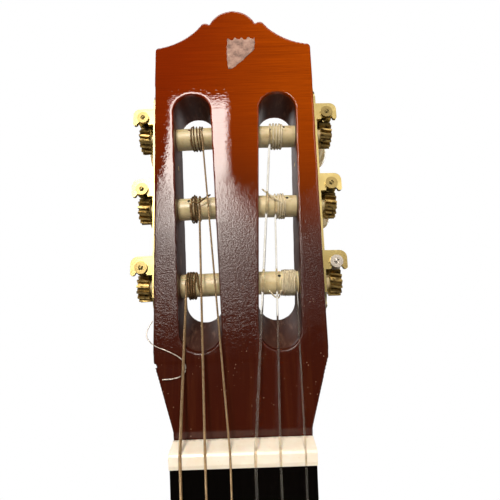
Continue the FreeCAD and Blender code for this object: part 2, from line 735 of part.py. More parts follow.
def make_plate(side, name):
    base_v = ROLLER_V[0]
    z0 = PLATE_LOW_V - base_v
    z1 = PLATE_HIGH_V - base_v
    t = side * PLATE_THICK
    body = [box(0, t, ROLLER_W - PLATE_HALF, ROLLER_W + PLATE_HALF, z0, z1)]
    for z, r in ((z0, PLATE_HALF - 0.9), (z1, PLATE_HALF - 0.9), (z0 - 5.2, 3.6), (z1 + 5.2, 3.6)):
        body.append(rod(r, V(0, ROLLER_W, z), V(t, ROLLER_W, z)))
    for v in ROLLER_V:
        for w0 in (ROLLER_W - PLATE_HALF, ROLLER_W + PLATE_HALF - EAR_THICK):
            lug = ear(side, w0)
            lug.translate(V(0, 0, v - base_v))
            body.append(lug)
    plate = joined(body)
    for v in ROLLER_V:
        z = v - base_v
        plate = plate.cut(rod(AXLE_R + RUN_FIT, V(side * -1, ROLLER_W, z), V(side * 3, ROLLER_W, z)))
        for dz in SCREW_OFFSETS[v]:
            hole = rod(PILOT_R, V(side * -1, ROLLER_W, z + dz), V(side * 3, ROLLER_W, z + dz))
            plate = plate.cut(hole)
    export(name, at_edge(plate, side, base_v))


def plate_screw(side):
    """A small domed wood screw, its head on the plate."""
    t = PLATE_THICK
    shank = rod(PLATE_SCREW_R, V(side * -8.5, ROLLER_W, 0), V(side * t, ROLLER_W, 0))
    ball = Part.makeSphere(2.6, V(side * (t - 1.3), ROLLER_W, 0))
    cap = ball.common(box(side * t, side * (t + 3), ROLLER_W - 4, ROLLER_W + 4, -4, 4))
    nick = box(side * (t + 0.75), side * (t + 3), ROLLER_W - 3, ROLLER_W + 3, -0.25, 0.25)
    return shank.fuse(cap).cut(nick)


def make_plates():
    screws = []
    for side, word in ((-1, "bass"), (1, "treble")):
        make_plate(side, "tuner_plate_" + word)
        for v in ROLLER_V:
            for dz in SCREW_OFFSETS[v]:
                screw = plate_screw(side)
                screw.translate(V(0, 0, dz))
                screws.append(at_edge(screw, side, v))
    export("plate_screws", Part.makeCompound([s for c in screws for s in c.Solids]))


def worm_lead_angle():
    return math.atan(GEAR_PITCH_R / GEAR_TEETH / (GEAR_WORM_GAP - GEAR_PITCH_R))


def make_gear(side):
    """Gear with straight slanted tooth spaces, one facing the worm, and the screw that holds it."""
    mid = GEAR_INNER_U + GEAR_WIDTH / 2.0
    u0 = GEAR_INNER_U
    u1 = GEAR_INNER_U + GEAR_WIDTH
    gear = rod(GEAR_TIP_R, V(side * u0, ROLLER_W, 0), V(side * u1, ROLLER_W, 0))
    root_half = 0.42
    tip_half = 1.06
    lean = math.tan(worm_lead_angle())
    long = GEAR_WIDTH + 1.0
    x0 = side * mid - long / 2.0
    y0 = ROLLER_W + lean * long / 2.0
    z0 = GEAR_ROOT_R
    z1 = GEAR_TIP_R + 0.4
    points = [V(x0, y0 - root_half, z0), V(x0, y0 + root_half, z0),
              V(x0, y0 + tip_half, z1), V(x0, y0 - tip_half, z1)]
    space = polygon_face(points).extrude(V(long, -lean * long, 0))
    spaces = []
    for i in range(GEAR_TEETH):
        one = space.copy()
        one.rotate(V(0, ROLLER_W, 0), V(1, 0, 0), 360.0 * i / GEAR_TEETH)
        spaces.append(one)
    gear = gear.cut(spaces)
    bore = rod(GEAR_BORE_R, V(side * (u0 - 1), ROLLER_W, 0), V(side * (u1 + 1), ROLLER_W, 0))
    gear = gear.cut(bore)
    ball = Part.makeSphere(3.0, V(side * (u1 - 1.6), ROLLER_W, 0))
    cap = ball.common(box(side * u1, side * (u1 + 3), ROLLER_W - 4, ROLLER_W + 4, -4, 4))
    shank = rod(GEAR_SCREW_R, V(side * (u0 - 6), ROLLER_W, 0), V(side * (u1 + 0.01), ROLLER_W, 0))
    nick = box(side * (u1 + 0.7), side * (u1 + 3), ROLLER_W - 4, ROLLER_W + 4, -0.35, 0.35)
    return gear, cap.fuse(shank).cut(nick)


def make_worm(side):
    """Shaft and single-start right-hand thread; its ridge meets the gear at W = ROLLER_W."""
    pitch = 2.0 * math.pi * GEAR_PITCH_R / GEAR_TEETH
    turns = 4
    helix = Part.makeHelix(pitch, pitch * turns, WORM_CORE_R)
    half_root = 0.74
    half_tip = 0.2
    inner = WORM_CORE_R - 0.12
    profile = Part.makePolygon([V(inner, 0, -half_root), V(WORM_CREST_R, 0, -half_tip),
                                V(WORM_CREST_R, 0, half_tip), V(inner, 0, half_root),
                                V(inner, 0, -half_root)])
    thread = Part.Wire(helix.Edges).makePipeShell([profile], True, True)
    start_w = ROLLER_W - pitch * turns / 2.0
    thread.transformShape(frame_placement(V(side * WORM_U, start_w, GEAR_WORM_GAP),
                                          V(0, 0, -1), V(-1, 0, 0), V(0, 1, 0)))
    x = side * WORM_U
    z = GEAR_WORM_GAP
    ear_in = ROLLER_W - PLATE_HALF + EAR_THICK
    ear_out = ROLLER_W + PLATE_HALF - EAR_THICK
    core = rod(WORM_CORE_R, V(x, ear_in + 0.3, z), V(x, ear_out - 0.3, z))
    shaft = rod(WORM_SHAFT_R, V(x, ear_in - 2.2, z), V(x, BUTTON_W - 2.0, z))
    face_w = ROLLER_W - PLATE_HALF - 0.1
    disc = rod(NOSE_R, V(x, face_w - 1.0, z), V(x, face_w, z))
    nose = disc.fuse(Part.makeCone(1.1, 0.3, 0.45, V(x, face_w - 1.0, z), V(0, -1, 0)))
    collar = rod(2.4, V(x, ROLLER_W + PLATE_HALF + 0.3, z), V(x, ROLLER_W + PLATE_HALF + 1.5, z))
    return joined([core, shaft, nose, collar, thread])


def make_button(side, turn):
    """Oval button on the back end of the worm's shaft, with a short stem."""
    x = side * WORM_U
    z = GEAR_WORM_GAP
    ball = Part.makeSphere(1.0, V(0, 0, 0))
    m = FreeCAD.Matrix()
    m.scale(V(BUTTON_LONG, BUTTON_DEEP, BUTTON_NARROW))
    oval = ball.transformGeometry(m)
    oval.rotate(V(0, 0, 0), V(0, 1, 0), turn)
    oval.translate(V(x, BUTTON_W, z))
    stem = rod(STEM_R, V(x, BUTTON_W - STEM_LENGTH, z), V(x, BUTTON_W, z))
    bore = rod(WORM_SHAFT_R, V(x, BUTTON_W - STEM_LENGTH - 1, z), V(x, BUTTON_W - 2.0, z))
    return oval.fuse(stem).cut(bore)


def make_roller(side, k):
    """Plastic sleeve that spans the slot, and the axle that carries the gear."""
    inner = 3.9 - edge_x(ROLLER_V[k])
    sleeve = rod(ROLLER_R, V(side * inner, ROLLER_W, 0), V(side * -0.35, ROLLER_W, 0))
    axle = rod(AXLE_R, V(side * -1.0, ROLLER_W, 0), V(side * GEAR_INNER_U, ROLLER_W, 0))
    bore = rod(GEAR_BORE_R, V(side * (GEAR_INNER_U - 6.2), ROLLER_W, 0), V(side * 9, ROLLER_W, 0))
    return sleeve.fuse(axle).cut(bore)


def make_winding(spec):
    """The turns of string on a roller: rings that press a little into each other."""
    d, k, side, x_on, x_off, turns = spec[1:]
    r = d / 2.0
    pitch = TURN_PITCH * d
    half_height = math.sqrt(r * r - pitch * pitch / 4.0)
    middle = side * ((abs(x_on) + abs(x_off)) / 2.0 - edge_x(ROLLER_V[k]))
    axis_to_turn = ROLLER_R + r + TURN_GAP
    edges = []
    for facing in (1, -1):
        for i in range(turns):
            x = middle + facing * (i - (turns - 1) / 2.0) * pitch
            left = V(x - facing * pitch / 2.0, 0, axis_to_turn + facing * half_height)
            right = V(x + facing * pitch / 2.0, 0, axis_to_turn + facing * half_height)
            if i == 0:
                left = V(x - facing * r, 0, axis_to_turn)
            if i == turns - 1:
                right = V(x + facing * r, 0, axis_to_turn)
            edges.append(arc(left, V(x, 0, axis_to_turn + facing * r), right))
    profile = Part.Face(Part.Wire(edges))
    sleeve = profile.revolve(V(0, 0, 0), V(1, 0, 0), 360)
    sleeve.translate(V(0, ROLLER_W, 0))
    return sleeve


def make_tuners():
    for spec in STRINGS:
        name = spec[0]
        k, side = spec[2:4]
        v = ROLLER_V[k]
        gear, screw = make_gear(side)
        export("gear_" + name, Part.makeCompound([at_edge(gear, side, v), at_edge(screw, side, v)]))
        export("roller_" + name, at_edge(make_roller(side, k), side, v))
        export("worm_shaft_" + name, at_edge(make_worm(side), side, v))
        export("button_" + name, at_edge(make_button(side, BUTTON_TURNS[name]), side, v))
        export("winding_" + name, at_edge(make_winding(spec), side, v))


# ---- small leftovers on the head ------------------------------------------------------
def make_sticker():
    """What is left of a torn paper label, stuck to the upper part of the head."""
    rim_points = ((-2.0, 157.9), (-2.9, 166.0), (-2.8, 173.8), (-1.6, 175.2), (9.0, 174.6),
                  (10.2, 173.2), (9.4, 168.0), (8.2, 165.4), (5.2, 162.4), (3.4, 161.6),
                  (1.0, 158.6))
    face = polygon_face([V(x, -0.15, z) for x, z in rim_points])
    export("label_remnant", in_head(face.extrude(V(0, 0.15, 0))))


def free_cord_radii(points):
    """Bend radii that leave a little straight run between neighbouring bends."""
    radii = []
    for i in range(1, len(points) - 1):
        into = points[i] - points[i - 1]
        away = points[i + 1] - points[i]
        turn = into.getAngle(away)
        radii.append(0.45 * min(into.Length, away.Length) / math.tan(turn / 2.0))
    return radii


def make_loose_wire():
    """A thin broken end of wrap wire that lies across the lower bass corner of the head."""
    route = ((-35.0, 43.6, 1.2), (-37.9, 39.0, -0.6), (-34.4, 34.2, -0.8), (-28.2, 31.9, -0.4),
             (-22.2, 28.6, -0.3), (-20.9, 24.0, -0.3), (-25.2, 21.3, -0.4), (-30.2, 21.5, -0.5))
    points = [head(*p) for p in route]
    wire = route_wire(points, free_cord_radii(points), "loose wire")
    solid = tube(wire, LOOSE_WIRE_D / 2.0)
    print("loose wire length", round(wire.Length, 2), "volume ratio",
          round(solid.Volume / (wire.Length * math.pi * LOOSE_WIRE_D ** 2 / 4.0), 3))
    print("loose wire points", [[round(c / 1000.0, 6) for c in p] for p in points])
    export("loose_wire", solid)


make_body()
string_tubes = make_strings()
make_bridge()
make_neck_and_head()
make_fingerboard()
make_nut(string_tubes)
make_plates()
make_tuners()
make_sticker()
make_loose_wire()
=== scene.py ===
import math
import random
from collections import namedtuple

import bmesh
import bpy
from mathutils import Matrix, Vector


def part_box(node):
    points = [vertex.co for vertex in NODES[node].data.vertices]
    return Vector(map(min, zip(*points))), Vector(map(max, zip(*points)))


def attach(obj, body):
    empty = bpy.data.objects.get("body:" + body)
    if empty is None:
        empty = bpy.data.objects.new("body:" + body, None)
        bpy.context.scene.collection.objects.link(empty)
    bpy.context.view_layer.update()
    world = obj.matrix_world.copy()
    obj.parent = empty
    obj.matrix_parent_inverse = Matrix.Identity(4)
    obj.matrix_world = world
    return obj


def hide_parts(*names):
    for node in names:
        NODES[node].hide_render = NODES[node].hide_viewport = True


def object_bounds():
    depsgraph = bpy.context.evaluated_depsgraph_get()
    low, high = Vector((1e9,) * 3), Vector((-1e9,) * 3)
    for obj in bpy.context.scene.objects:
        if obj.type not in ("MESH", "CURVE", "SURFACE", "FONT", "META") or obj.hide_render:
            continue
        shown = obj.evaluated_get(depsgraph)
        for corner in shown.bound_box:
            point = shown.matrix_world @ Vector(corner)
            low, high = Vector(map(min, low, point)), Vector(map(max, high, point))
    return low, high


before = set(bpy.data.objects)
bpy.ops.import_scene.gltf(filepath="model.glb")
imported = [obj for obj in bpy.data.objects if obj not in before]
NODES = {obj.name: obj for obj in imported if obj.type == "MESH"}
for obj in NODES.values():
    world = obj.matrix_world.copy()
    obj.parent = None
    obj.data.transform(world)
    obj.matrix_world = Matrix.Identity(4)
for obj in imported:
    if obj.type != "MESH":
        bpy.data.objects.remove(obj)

CAD_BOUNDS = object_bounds()

# ---- sizes shared with the model, in millimetres unless a name says otherwise ---------
MM = 0.001
HEAD_ANGLE = math.radians(14.76)
SIN_B = math.sin(HEAD_ANGLE)
COS_B = math.cos(HEAD_ANGLE)
NUT_LENGTH = 5.65
EDGE_LOW_V, EDGE_LOW_X = 31.0, 34.2
EDGE_TOP_V, EDGE_TOP_X = 168.5, 36.8
EDGE_SLOPE = (EDGE_TOP_X - EDGE_LOW_X) / (EDGE_TOP_V - EDGE_LOW_V)
EDGE_TURN = math.atan(EDGE_SLOPE)
ROLLER_V = (58.05, 93.05, 128.05)
ROLLER_W = 10.6
ROLLER_R = 5.0
ROLLER_INNER_X = 3.9
ROLLER_SHORT = 0.35
AXLE_R = 3.0
AXLE_OUT = 3.68
STRING_HOLE_ANGLE = math.radians(30)
STRING_HOLE_BESIDE = 1.1
WORM_U = 6.1
WORM_GAP = 7.8
BUTTON_W = 37.0
BUTTON_LONG = 11.6
BUTTON_DEEP = 7.5
BUTTON_NARROW = 6.4
STEM_LENGTH = 11.2
# how far each button was left turned, in degrees from lying straight across
BUTTON_TURNS = {"e6": -38.0, "a5": 90.0, "d4": 90.0, "g3": 86.0, "b2": 84.0, "e1": 42.0}
SADDLE_Z = -651.5
SADDLE_TOP = 11.9
SADDLE_CLEAR = 0.25
TIE_FRONT_Z = -660.5
TIE_TOP = 8.8
TIE_CLEAR = 0.08
TIE_END = 2.0
TIE_HOLE_Y = -5.0
TIE_HOLE_AHEAD = 0.2
BRIDGE_BACK_Z = -671.0
BRIDGE_BEHIND = 0.4
BOARD_NUT_THICK = 7.4
NUT_LIFT = 0.95
NUT_SLOT_Z = 4.6
NUT_SPREAD = 43.5
SADDLE_SPREAD = 58.0

# diameter; which roller, from the nut up; side; X where it meets the roller; X of the last turn
String = namedtuple("String", "name diameter roller side x_on x_last")
STRINGS = (
    String("e6", 1.10, 0, -1, -22.3, -19.0),
    String("a5", 0.90, 1, -1, -16.8, -20.5),
    String("d4", 0.75, 2, -1, -15.6, -20.4),
    String("g3", 1.02, 2, 1, 16.1, 21.4),
    String("b2", 0.82, 1, 1, 16.7, 21.1),
    String("e1", 0.71, 0, 1, 23.9, 18.0),
)

ACROSS = Vector((1, 0, 0))
UP_HEAD = Vector((0, SIN_B, COS_B))
INTO_HEAD = Vector((0, COS_B, -SIN_B))


def head(x, v, w):
    """A point in metres, given in millimetres across, up and into the head face."""
    return Vector((x, v * SIN_B + w * COS_B, NUT_LENGTH + v * COS_B - w * SIN_B)) * MM


def head_coords(p):
    """The reverse of head()."""
    y = p.y / MM
    z = p.z / MM - NUT_LENGTH
    return p.x / MM, y * SIN_B + z * COS_B, y * COS_B - z * SIN_B


def edge_x(v):
    """Half the head's width at a given height up its face."""
    return EDGE_LOW_X + (v - EDGE_LOW_V) * EDGE_SLOPE


def at_edge(side, v, x, w, z):
    """A point of a tuner: x = side * distance out of the head's edge, w deep, z up from V = v."""
    across = side * edge_x(v) + x * math.cos(EDGE_TURN) + z * side * math.sin(EDGE_TURN)
    up = v - x * side * math.sin(EDGE_TURN) + z * math.cos(EDGE_TURN)
    return head(across, up, w)


# ---- mesh helpers ---------------------------------------------------------------------
def make_object(name, verts, faces, uvs=None, smooth=True):
    """A new mesh in the scene; uvs, one for each vertex, run along a string."""
    mesh = bpy.data.meshes.new(name)
    mesh.from_pydata([tuple(v) for v in verts], [], faces)
    if uvs:
        layer = mesh.uv_layers.new(name="along")
        for poly in mesh.polygons:
            for k, loop in zip(poly.vertices, poly.loop_indices):
                layer.data[loop].uv = uvs[k]
    mesh.polygons.foreach_set("use_smooth", [smooth] * len(mesh.polygons))
    mesh.update()
    obj = bpy.data.objects.new(name, mesh)
    bpy.context.scene.collection.objects.link(obj)
    return obj


def finish_piece(obj, material, body, replaces=()):
    """Give a new piece its material and its body, and hide the nodes it stands for."""
    obj.data.materials.clear()
    obj.data.materials.append(material)
    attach(obj, body)
    if replaces:
        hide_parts(*replaces)


def curve_through(points, per_span=8):
    """Points of a smooth curve through the given ones."""
    out = []
    n = len(points)
    for i in range(n - 1):
        p0 = points[max(i - 1, 0)]
        p1 = points[i]
        p2 = points[i + 1]
        p3 = points[min(i + 2, n - 1)]
        for k in range(per_span):
            t = k / per_span
            a = 2 * p1
            b = p2 - p0
            c = 2 * p0 - 5 * p1 + 4 * p2 - p3
            d = 3 * p1 - p0 - 3 * p2 + p3
            out.append((a + b * t + c * t * t + d * t ** 3) * 0.5)
    out.append(points[-1].copy())
    return out


def bend_route(corners, radii, step=8):
    """Straight runs joined by round bends, as a list of points."""
    out = [corners[0].copy()]
    for i in range(1, len(corners) - 1):
        into = (corners[i] - corners[i - 1]).normalized()
        away = (corners[i + 1] - corners[i]).normalized()
        turn = into.angle(away)
        back = radii[i - 1] * math.tan(turn / 2)
        a = corners[i] - into * back
        b = corners[i] + away * back
        centre = corners[i] + (away - into).normalized() * (radii[i - 1] / math.cos(turn / 2))
        arm = (a - centre).normalized()
        other = (b - centre).normalized()
        for k in range(step + 1):
            out.append(centre + arm.slerp(other, k / step) * radii[i - 1])
    out.append(corners[-1].copy())
    return out


def ring_faces(rings, sides):
    """Four-sided faces between neighbouring rings of vertices."""
    faces = []
    for i in range(rings - 1):
        for k in range(sides):
            j = (k + 1) % sides
            faces.append((i * sides + k, i * sides + j, (i + 1) * sides + j, (i + 1) * sides + k))
    return faces


def tube_faces(rings, sides):
    """The same, with the first and last ring closed."""
    first = tuple(reversed(range(sides)))
    last = tuple((rings - 1) * sides + k for k in range(sides))
    return ring_faces(rings, sides) + [first, last]


def tube(name, points, radius, sides):
    """A closed round tube along points; radius is a number or one for each point."""
    n = len(points)
    radii = radius if isinstance(radius, (list, tuple)) else [radius] * n
    verts = []
    uvs = []
    heading = (points[1] - points[0]).normalized()
    ref = Vector((0, 0, 1)) if abs(heading.z) < 0.9 else Vector((1, 0, 0))
    normal = (ref - heading * ref.dot(heading)).normalized()
    run = 0.0
    for i in range(n):
        if 0 < i < n - 1:
            new = (points[i + 1] - points[i - 1]).normalized()
        elif i == 0:
            new = (points[1] - points[0]).normalized()
        else:
            new = (points[-1] - points[-2]).normalized()
        normal = heading.rotation_difference(new) @ normal
        normal = (normal - new * normal.dot(new)).normalized()
        heading = new
        side = heading.cross(normal)
        if i:
            run += (points[i] - points[i - 1]).length
        for k in range(sides):
            a = 2 * math.pi * k / sides
            verts.append(points[i] + (normal * math.cos(a) + side * math.sin(a)) * radii[i])
            uvs.append((run / MM, k / sides))
    return make_object(name, verts, tube_faces(n, sides), uvs)


LEAST_R = 0.001


def revolve(name, profile, origin, axis, start, sides):
    """A closed solid of revolution; profile is (distance along axis, radius)."""
    side = axis.cross(start)
    verts = []
    for along, radius in profile:
        for k in range(sides):
            a = 2 * math.pi * k / sides
            spoke = start * math.cos(a) + side * math.sin(a)
            verts.append(origin + (axis * along + spoke * max(radius, LEAST_R)) * MM)
    return make_object(name, verts, tube_faces(len(profile), sides))


BEVEL_ANGLE = math.radians(35)
SHARP_ANGLE = math.radians(30)


def add_bevel(obj, width):
    """Round off the sharp edges of a node by a width in millimetres."""
    mod = obj.modifiers.new("soft_edges", "BEVEL")
    mod.width = width * MM
    mod.segments = 3
    mod.limit_method = "ANGLE"
    mod.angle_limit = BEVEL_ANGLE
    mod.harden_normals = False


def shade_by_angle(obj):
    """Smooth shading with sharp edges kept sharp."""
    mesh = obj.data
    bm = bmesh.new()
    bm.from_mesh(mesh)
    for edge in bm.edges:
        faces = edge.link_faces
        sharp = len(faces) != 2 or faces[0].normal.angle(faces[1].normal, 0) > SHARP_ANGLE
        edge.smooth = not sharp
    for face in bm.faces:
        face.smooth = True
    bm.to_mesh(mesh)
    bm.free()


# ---- material helpers -------------------------------------------------------------------
def srgb(r, g, b):
    """An sRGB colour of 0 to 255 as the linear colour that shaders take."""
    out = []
    for c in (r, g, b):
        c = c / 255.0
        out.append(c / 12.92 if c <= 0.04045 else ((c + 0.055) / 1.055) ** 2.4)
    return (*out, 1.0)


class Shader:
    """A Principled material and short ways to add nodes to it."""

    def __init__(self, name, colour=(128, 128, 128), metallic=0.0, roughness=0.5, **sockets):
        self.material = bpy.data.materials.new(name)
        self.material.use_nodes = True
        self.tree = self.material.node_tree
        self.bsdf = self.tree.nodes["Principled BSDF"]
        self.set("Base Color", srgb(*colour))
        self.set("Metallic", metallic)
        self.set("Roughness", roughness)
        for key, value in sockets.items():
            self.set(key.replace("_", " "), value)
        self.place = self.tree.nodes.new("ShaderNodeTexCoord").outputs["Object"]

    def set(self, socket, value):
        self.bsdf.inputs[socket].default_value = value

    def link(self, a, b):
        self.tree.links.new(a, b)

    def to(self, socket, output):
        self.link(output, self.bsdf.inputs[socket])

    def uv(self):
        node = self.tree.nodes.new("ShaderNodeUVMap")
        node.uv_map = "along"
        return node.outputs["UV"]

    def along(self, direction):
        """Distance in millimetres along a direction."""
        node = self.tree.nodes.new("ShaderNodeVectorMath")
        node.operation = "DOT_PRODUCT"
        self.link(self.place, node.inputs[0])
        node.inputs[1].default_value = direction / MM
        return node.outputs["Value"]

    def combine(self, x, y, z):
        node = self.tree.nodes.new("ShaderNodeCombineXYZ")
        self.feed(node.inputs, (x, y, z))
        return node.outputs[0]

    def split(self):
        """The three coordinates, in metres."""
        node = self.tree.nodes.new("ShaderNodeSeparateXYZ")
        self.link(self.place, node.inputs[0])
        return node.outputs

    def stretch(self, scale, source=None):
        node = self.tree.nodes.new("ShaderNodeMapping")
        self.link(source or self.place, node.inputs["Vector"])
        node.inputs["Scale"].default_value = scale
        return node.outputs[0]

    def noise(self, scale, detail=3.0, rough=0.55, source=None, distortion=0.0):
        node = self.tree.nodes.new("ShaderNodeTexNoise")
        self.link(source or self.place, node.inputs["Vector"])
        node.inputs["Scale"].default_value = scale
        node.inputs["Detail"].default_value = detail
        node.inputs["Roughness"].default_value = rough
        node.inputs["Distortion"].default_value = distortion
        return node.outputs["Fac"]

    def voronoi(self, scale, source=None):
        """Distance from the nearest of a scatter of points."""
        node = self.tree.nodes.new("ShaderNodeTexVoronoi")
        self.link(source or self.place, node.inputs["Vector"])
        node.inputs["Scale"].default_value = scale
        return node.outputs["Distance"]

    def wave(self, scale, source, distortion=0.0, detail=0.0, detail_scale=1.0):
        """Even bands across X."""
        node = self.tree.nodes.new("ShaderNodeTexWave")
        self.link(source, node.inputs["Vector"])
        node.inputs["Scale"].default_value = scale
        node.inputs["Distortion"].default_value = distortion
        node.inputs["Detail"].default_value = detail
        node.inputs["Detail Scale"].default_value = detail_scale
        return node.outputs["Fac"]

    def ramp(self, source, stops):
        """A colour for each value of source, from (value, colour) pairs."""
        node = self.tree.nodes.new("ShaderNodeValToRGB")
        self.link(source, node.inputs[0])
        elements = node.color_ramp.elements
        while len(elements) < len(stops):
            elements.new(0.5)
        for element, (at, colour) in zip(elements, stops):
            element.position = at
            element.color = srgb(*colour)
        return node.outputs["Color"]

    def feed(self, sockets, values):
        """Set each socket to a number or a colour, or link it to another node's output."""
        for socket, value in zip(sockets, values):
            if isinstance(value, (int, float)):
                socket.default_value = value
            elif isinstance(value, tuple):
                socket.default_value = srgb(*value)
            else:
                self.link(value, socket)

    def math(self, operation, a, b=0.0):
        node = self.tree.nodes.new("ShaderNodeMath")
        node.operation = operation
        self.feed(node.inputs, (a, b))
        return node.outputs[0]

    def add(self, a, b):
        return self.math("ADD", a, b)

    def mul(self, a, b):
        return self.math("MULTIPLY", a, b)

    def between(self, source, low, high, to_low=0.0, to_high=1.0):
        """source from low to high becomes to_low to to_high, smoothly and clamped."""
        node = self.tree.nodes.new("ShaderNodeMapRange")
        node.interpolation_type = "SMOOTHSTEP"
        self.link(source, node.inputs["Value"])
        node.inputs["From Min"].default_value = low
        node.inputs["From Max"].default_value = high
        node.inputs["To Min"].default_value = to_low
        node.inputs["To Max"].default_value = to_high
        return node.outputs["Result"]

    def mix(self, factor, a, b):
        """Colour a where factor is 0 and b where it is 1."""
        node = self.tree.nodes.new("ShaderNodeMix")
        node.data_type = "RGBA"
        self.feed((node.inputs[0], node.inputs[6], node.inputs[7]), (factor, a, b))
        return node.outputs[2]

    def bump(self, height, strength=0.3, distance=0.0002, after=None):
        """A normal from a height of up to distance metres, on top of another normal."""
        node = self.tree.nodes.new("ShaderNodeBump")
        self.link(height, node.inputs["Height"])
        node.inputs["Strength"].default_value = strength
        node.inputs["Distance"].default_value = distance
        if after:
            self.link(after, node.inputs["Normal"])
        return node.outputs["Normal"]


# ---- materials ------------------------------------------------------------------------
def head_colour(s, across, up, into, inside):
    """Orange-brown with cross grain at the crown, dark red-brown and dusty near the nut."""
    wobble = s.mul(s.math("SUBTRACT", s.noise(28.0, 3.0), 0.5), 26.0)
    fade = s.between(s.add(up, wobble), 28.0, 190.0)
    base = s.ramp(fade, [(0.0, (54, 17, 7)), (0.22, (50, 14, 6)), (0.38, (66, 20, 8)),
                         (0.56, (94, 29, 5)), (0.74, (114, 34, 2)), (1.0, (120, 35, 2))])
    warm = s.between(across, -34.0, 40.0)
    base = s.mix(s.mul(warm, s.between(up, 60.0, 150.0, 0.0, 0.62)), base, (172, 76, 3))
    high = s.between(up, 70.0, 130.0)
    grain = s.noise(1.0, 5.0, 0.7, s.combine(s.mul(across, 0.035), into, s.mul(up, 1.9)))
    base = s.mix(s.mul(s.between(grain, 0.35, 0.7, 0.42, 0.0), high), base, (82, 22, 1))
    bands = s.noise(1.0, 3.0, 0.6, s.combine(s.mul(across, 0.02), into, s.mul(up, 0.35)))
    base = s.mix(s.mul(s.between(bands, 0.45, 0.75, 0.0, 0.3), high), base, (92, 24, 1))
    pore_place = s.combine(s.mul(across, 0.16), into, s.mul(up, 2.6))
    pores = s.between(s.voronoi(1.0, pore_place), 0.04, 0.16, 0.4, 0.0)
    base = s.mix(s.mul(pores, high), base, (58, 14, 2))
    worn = s.between(s.noise(1.0, 3.0, 0.6, s.stretch((500.0, 120.0, 120.0))), 0.5, 0.75)
    wall = s.mix(worn, (58, 30, 20), (104, 74, 58))
    base = s.mix(s.mul(inside, 0.86), base, wall)
    low = s.between(up, 50.0, 78.0, 1.0, 0.0)
    runs = s.noise(1.0, 3.0, 0.6, s.combine(s.mul(across, 0.5), into, s.mul(up, 0.03)))
    base = s.mix(s.mul(low, s.between(runs, 0.45, 0.75, 0.0, 0.2)), base, (84, 42, 18))
    dust = s.between(s.voronoi(620.0), 0.06, 0.13, 0.6, 0.0)
    dusty = s.between(s.noise(140.0, 2.0), 0.5, 0.62)
    return s.mix(s.mul(s.mul(low, dusty), dust), base, (190, 150, 124))


def head_gloss(s, across, up, into, inside):
    """Mirror-like lacquer at the crown that turns to orange peel lower down."""
    edge_up = s.add(up, s.mul(s.math("SUBTRACT", s.noise(160.0, 4.0), 0.5), 22.0))
    s.to("Roughness", s.add(s.between(edge_up, 62.0, 100.0, 0.18, 0.015), s.mul(inside, 0.5)))
    peel = s.add(s.mul(s.noise(2000.0, 2.0, 0.6), 0.6), s.mul(s.noise(1150.0, 2.0, 0.5), 0.4))
    peel = s.mul(peel, s.between(edge_up, 66.0, 112.0, 1.0, 0.02))
    peel = s.mul(peel, s.between(edge_up, 22.0, 46.0, 0.3, 1.0))
    peeled = s.bump(peel, 0.9, 0.0002)
    # shallow cross-grain dents that fray the edge of a reflection
    dents = s.noise(1.0, 1.0, 0.5, s.combine(s.mul(across, 0.5), into, s.mul(up, 1.3)))
    frayed = s.bump(dents, 1.0, 0.000016, peeled)
    # sags of thick lacquer round the lower ends of the slots
    near_slots = s.mul(s.between(up, 24.0, 34.0), s.between(up, 44.0, 58.0, 1.0, 0.0))
    sags = s.mul(s.noise(330.0, 2.0, 0.6), near_slots)
    s.to("Normal", s.bump(sags, 0.4, 0.0004, frayed))


def head_lacquer():
    """The head's finish, laid out in millimetres across, up and into its face."""
    s = Shader("head_lacquer", roughness=0.2, Specular_IOR_Level=0.32)
    up = s.add(s.along(UP_HEAD), -NUT_LENGTH * COS_B)
    across = s.along(ACROSS)
    into = s.add(s.along(INTO_HEAD), NUT_LENGTH * SIN_B)
    inside = s.mul(s.between(into, 0.7, 2.6), s.between(into, 20.2, 21.0, 1.0, 0.0))
    inside = s.mul(inside, s.between(up, 12.0, 34.0))
    s.to("Base Color", head_colour(s, across, up, into, inside))
    head_gloss(s, across, up, into, inside)
    return s.material


def neck_lacquer():
    """The same finish on the shaft and heel, with its grain along the neck."""
    s = Shader("neck_lacquer", roughness=0.22, Specular_IOR_Level=0.25)
    long = s.stretch((900.0, 900.0, 26.0))
    grain = s.noise(1.0, 6.0, 0.65, long, 0.3)
    base = s.ramp(grain, [(0.25, (48, 17, 8)), (0.5, (66, 25, 10)), (0.75, (86, 34, 12))])
    pores = s.between(s.voronoi(1.6, long), 0.05, 0.2, 0.5, 0.0)
    s.to("Base Color", s.mix(pores, base, (30, 10, 5)))
    s.to("Roughness", s.between(s.noise(60.0), 0.3, 0.8, 0.18, 0.34))
    s.to("Normal", s.bump(grain, 0.12, 0.0002, s.bump(s.noise(800.0, 2.0), 0.12, 0.0002)))
    return s.material


def striped_wood(name, dark, mid, light, across_scale, rough=0.22, wander=1.5, gloss_bump=0.1):
    """Straight-grained lacquered wood, grain along Z."""
    s = Shader(name, roughness=rough)
    place = s.stretch((across_scale, across_scale, 9.0))
    lines = s.wave(1.0, place, wander, 3.0, 1.2)
    fibres = s.noise(3.0, 5.0, 0.7, place)
    mixed = s.add(s.mul(lines, 0.55), s.mul(fibres, 0.45))
    base = s.ramp(mixed, [(0.2, dark), (0.5, mid), (0.8, light)])
    tone = s.noise(7.0, 3.0, 0.5)
    s.to("Base Color", s.mix(s.between(tone, 0.4, 0.75, 0.0, 0.35), base, dark))
    s.to("Roughness", s.between(s.noise(50.0), 0.3, 0.8, rough * 0.8, rough * 1.5))
    s.to("Normal", s.bump(fibres, gloss_bump, 0.0002))
    return s.material


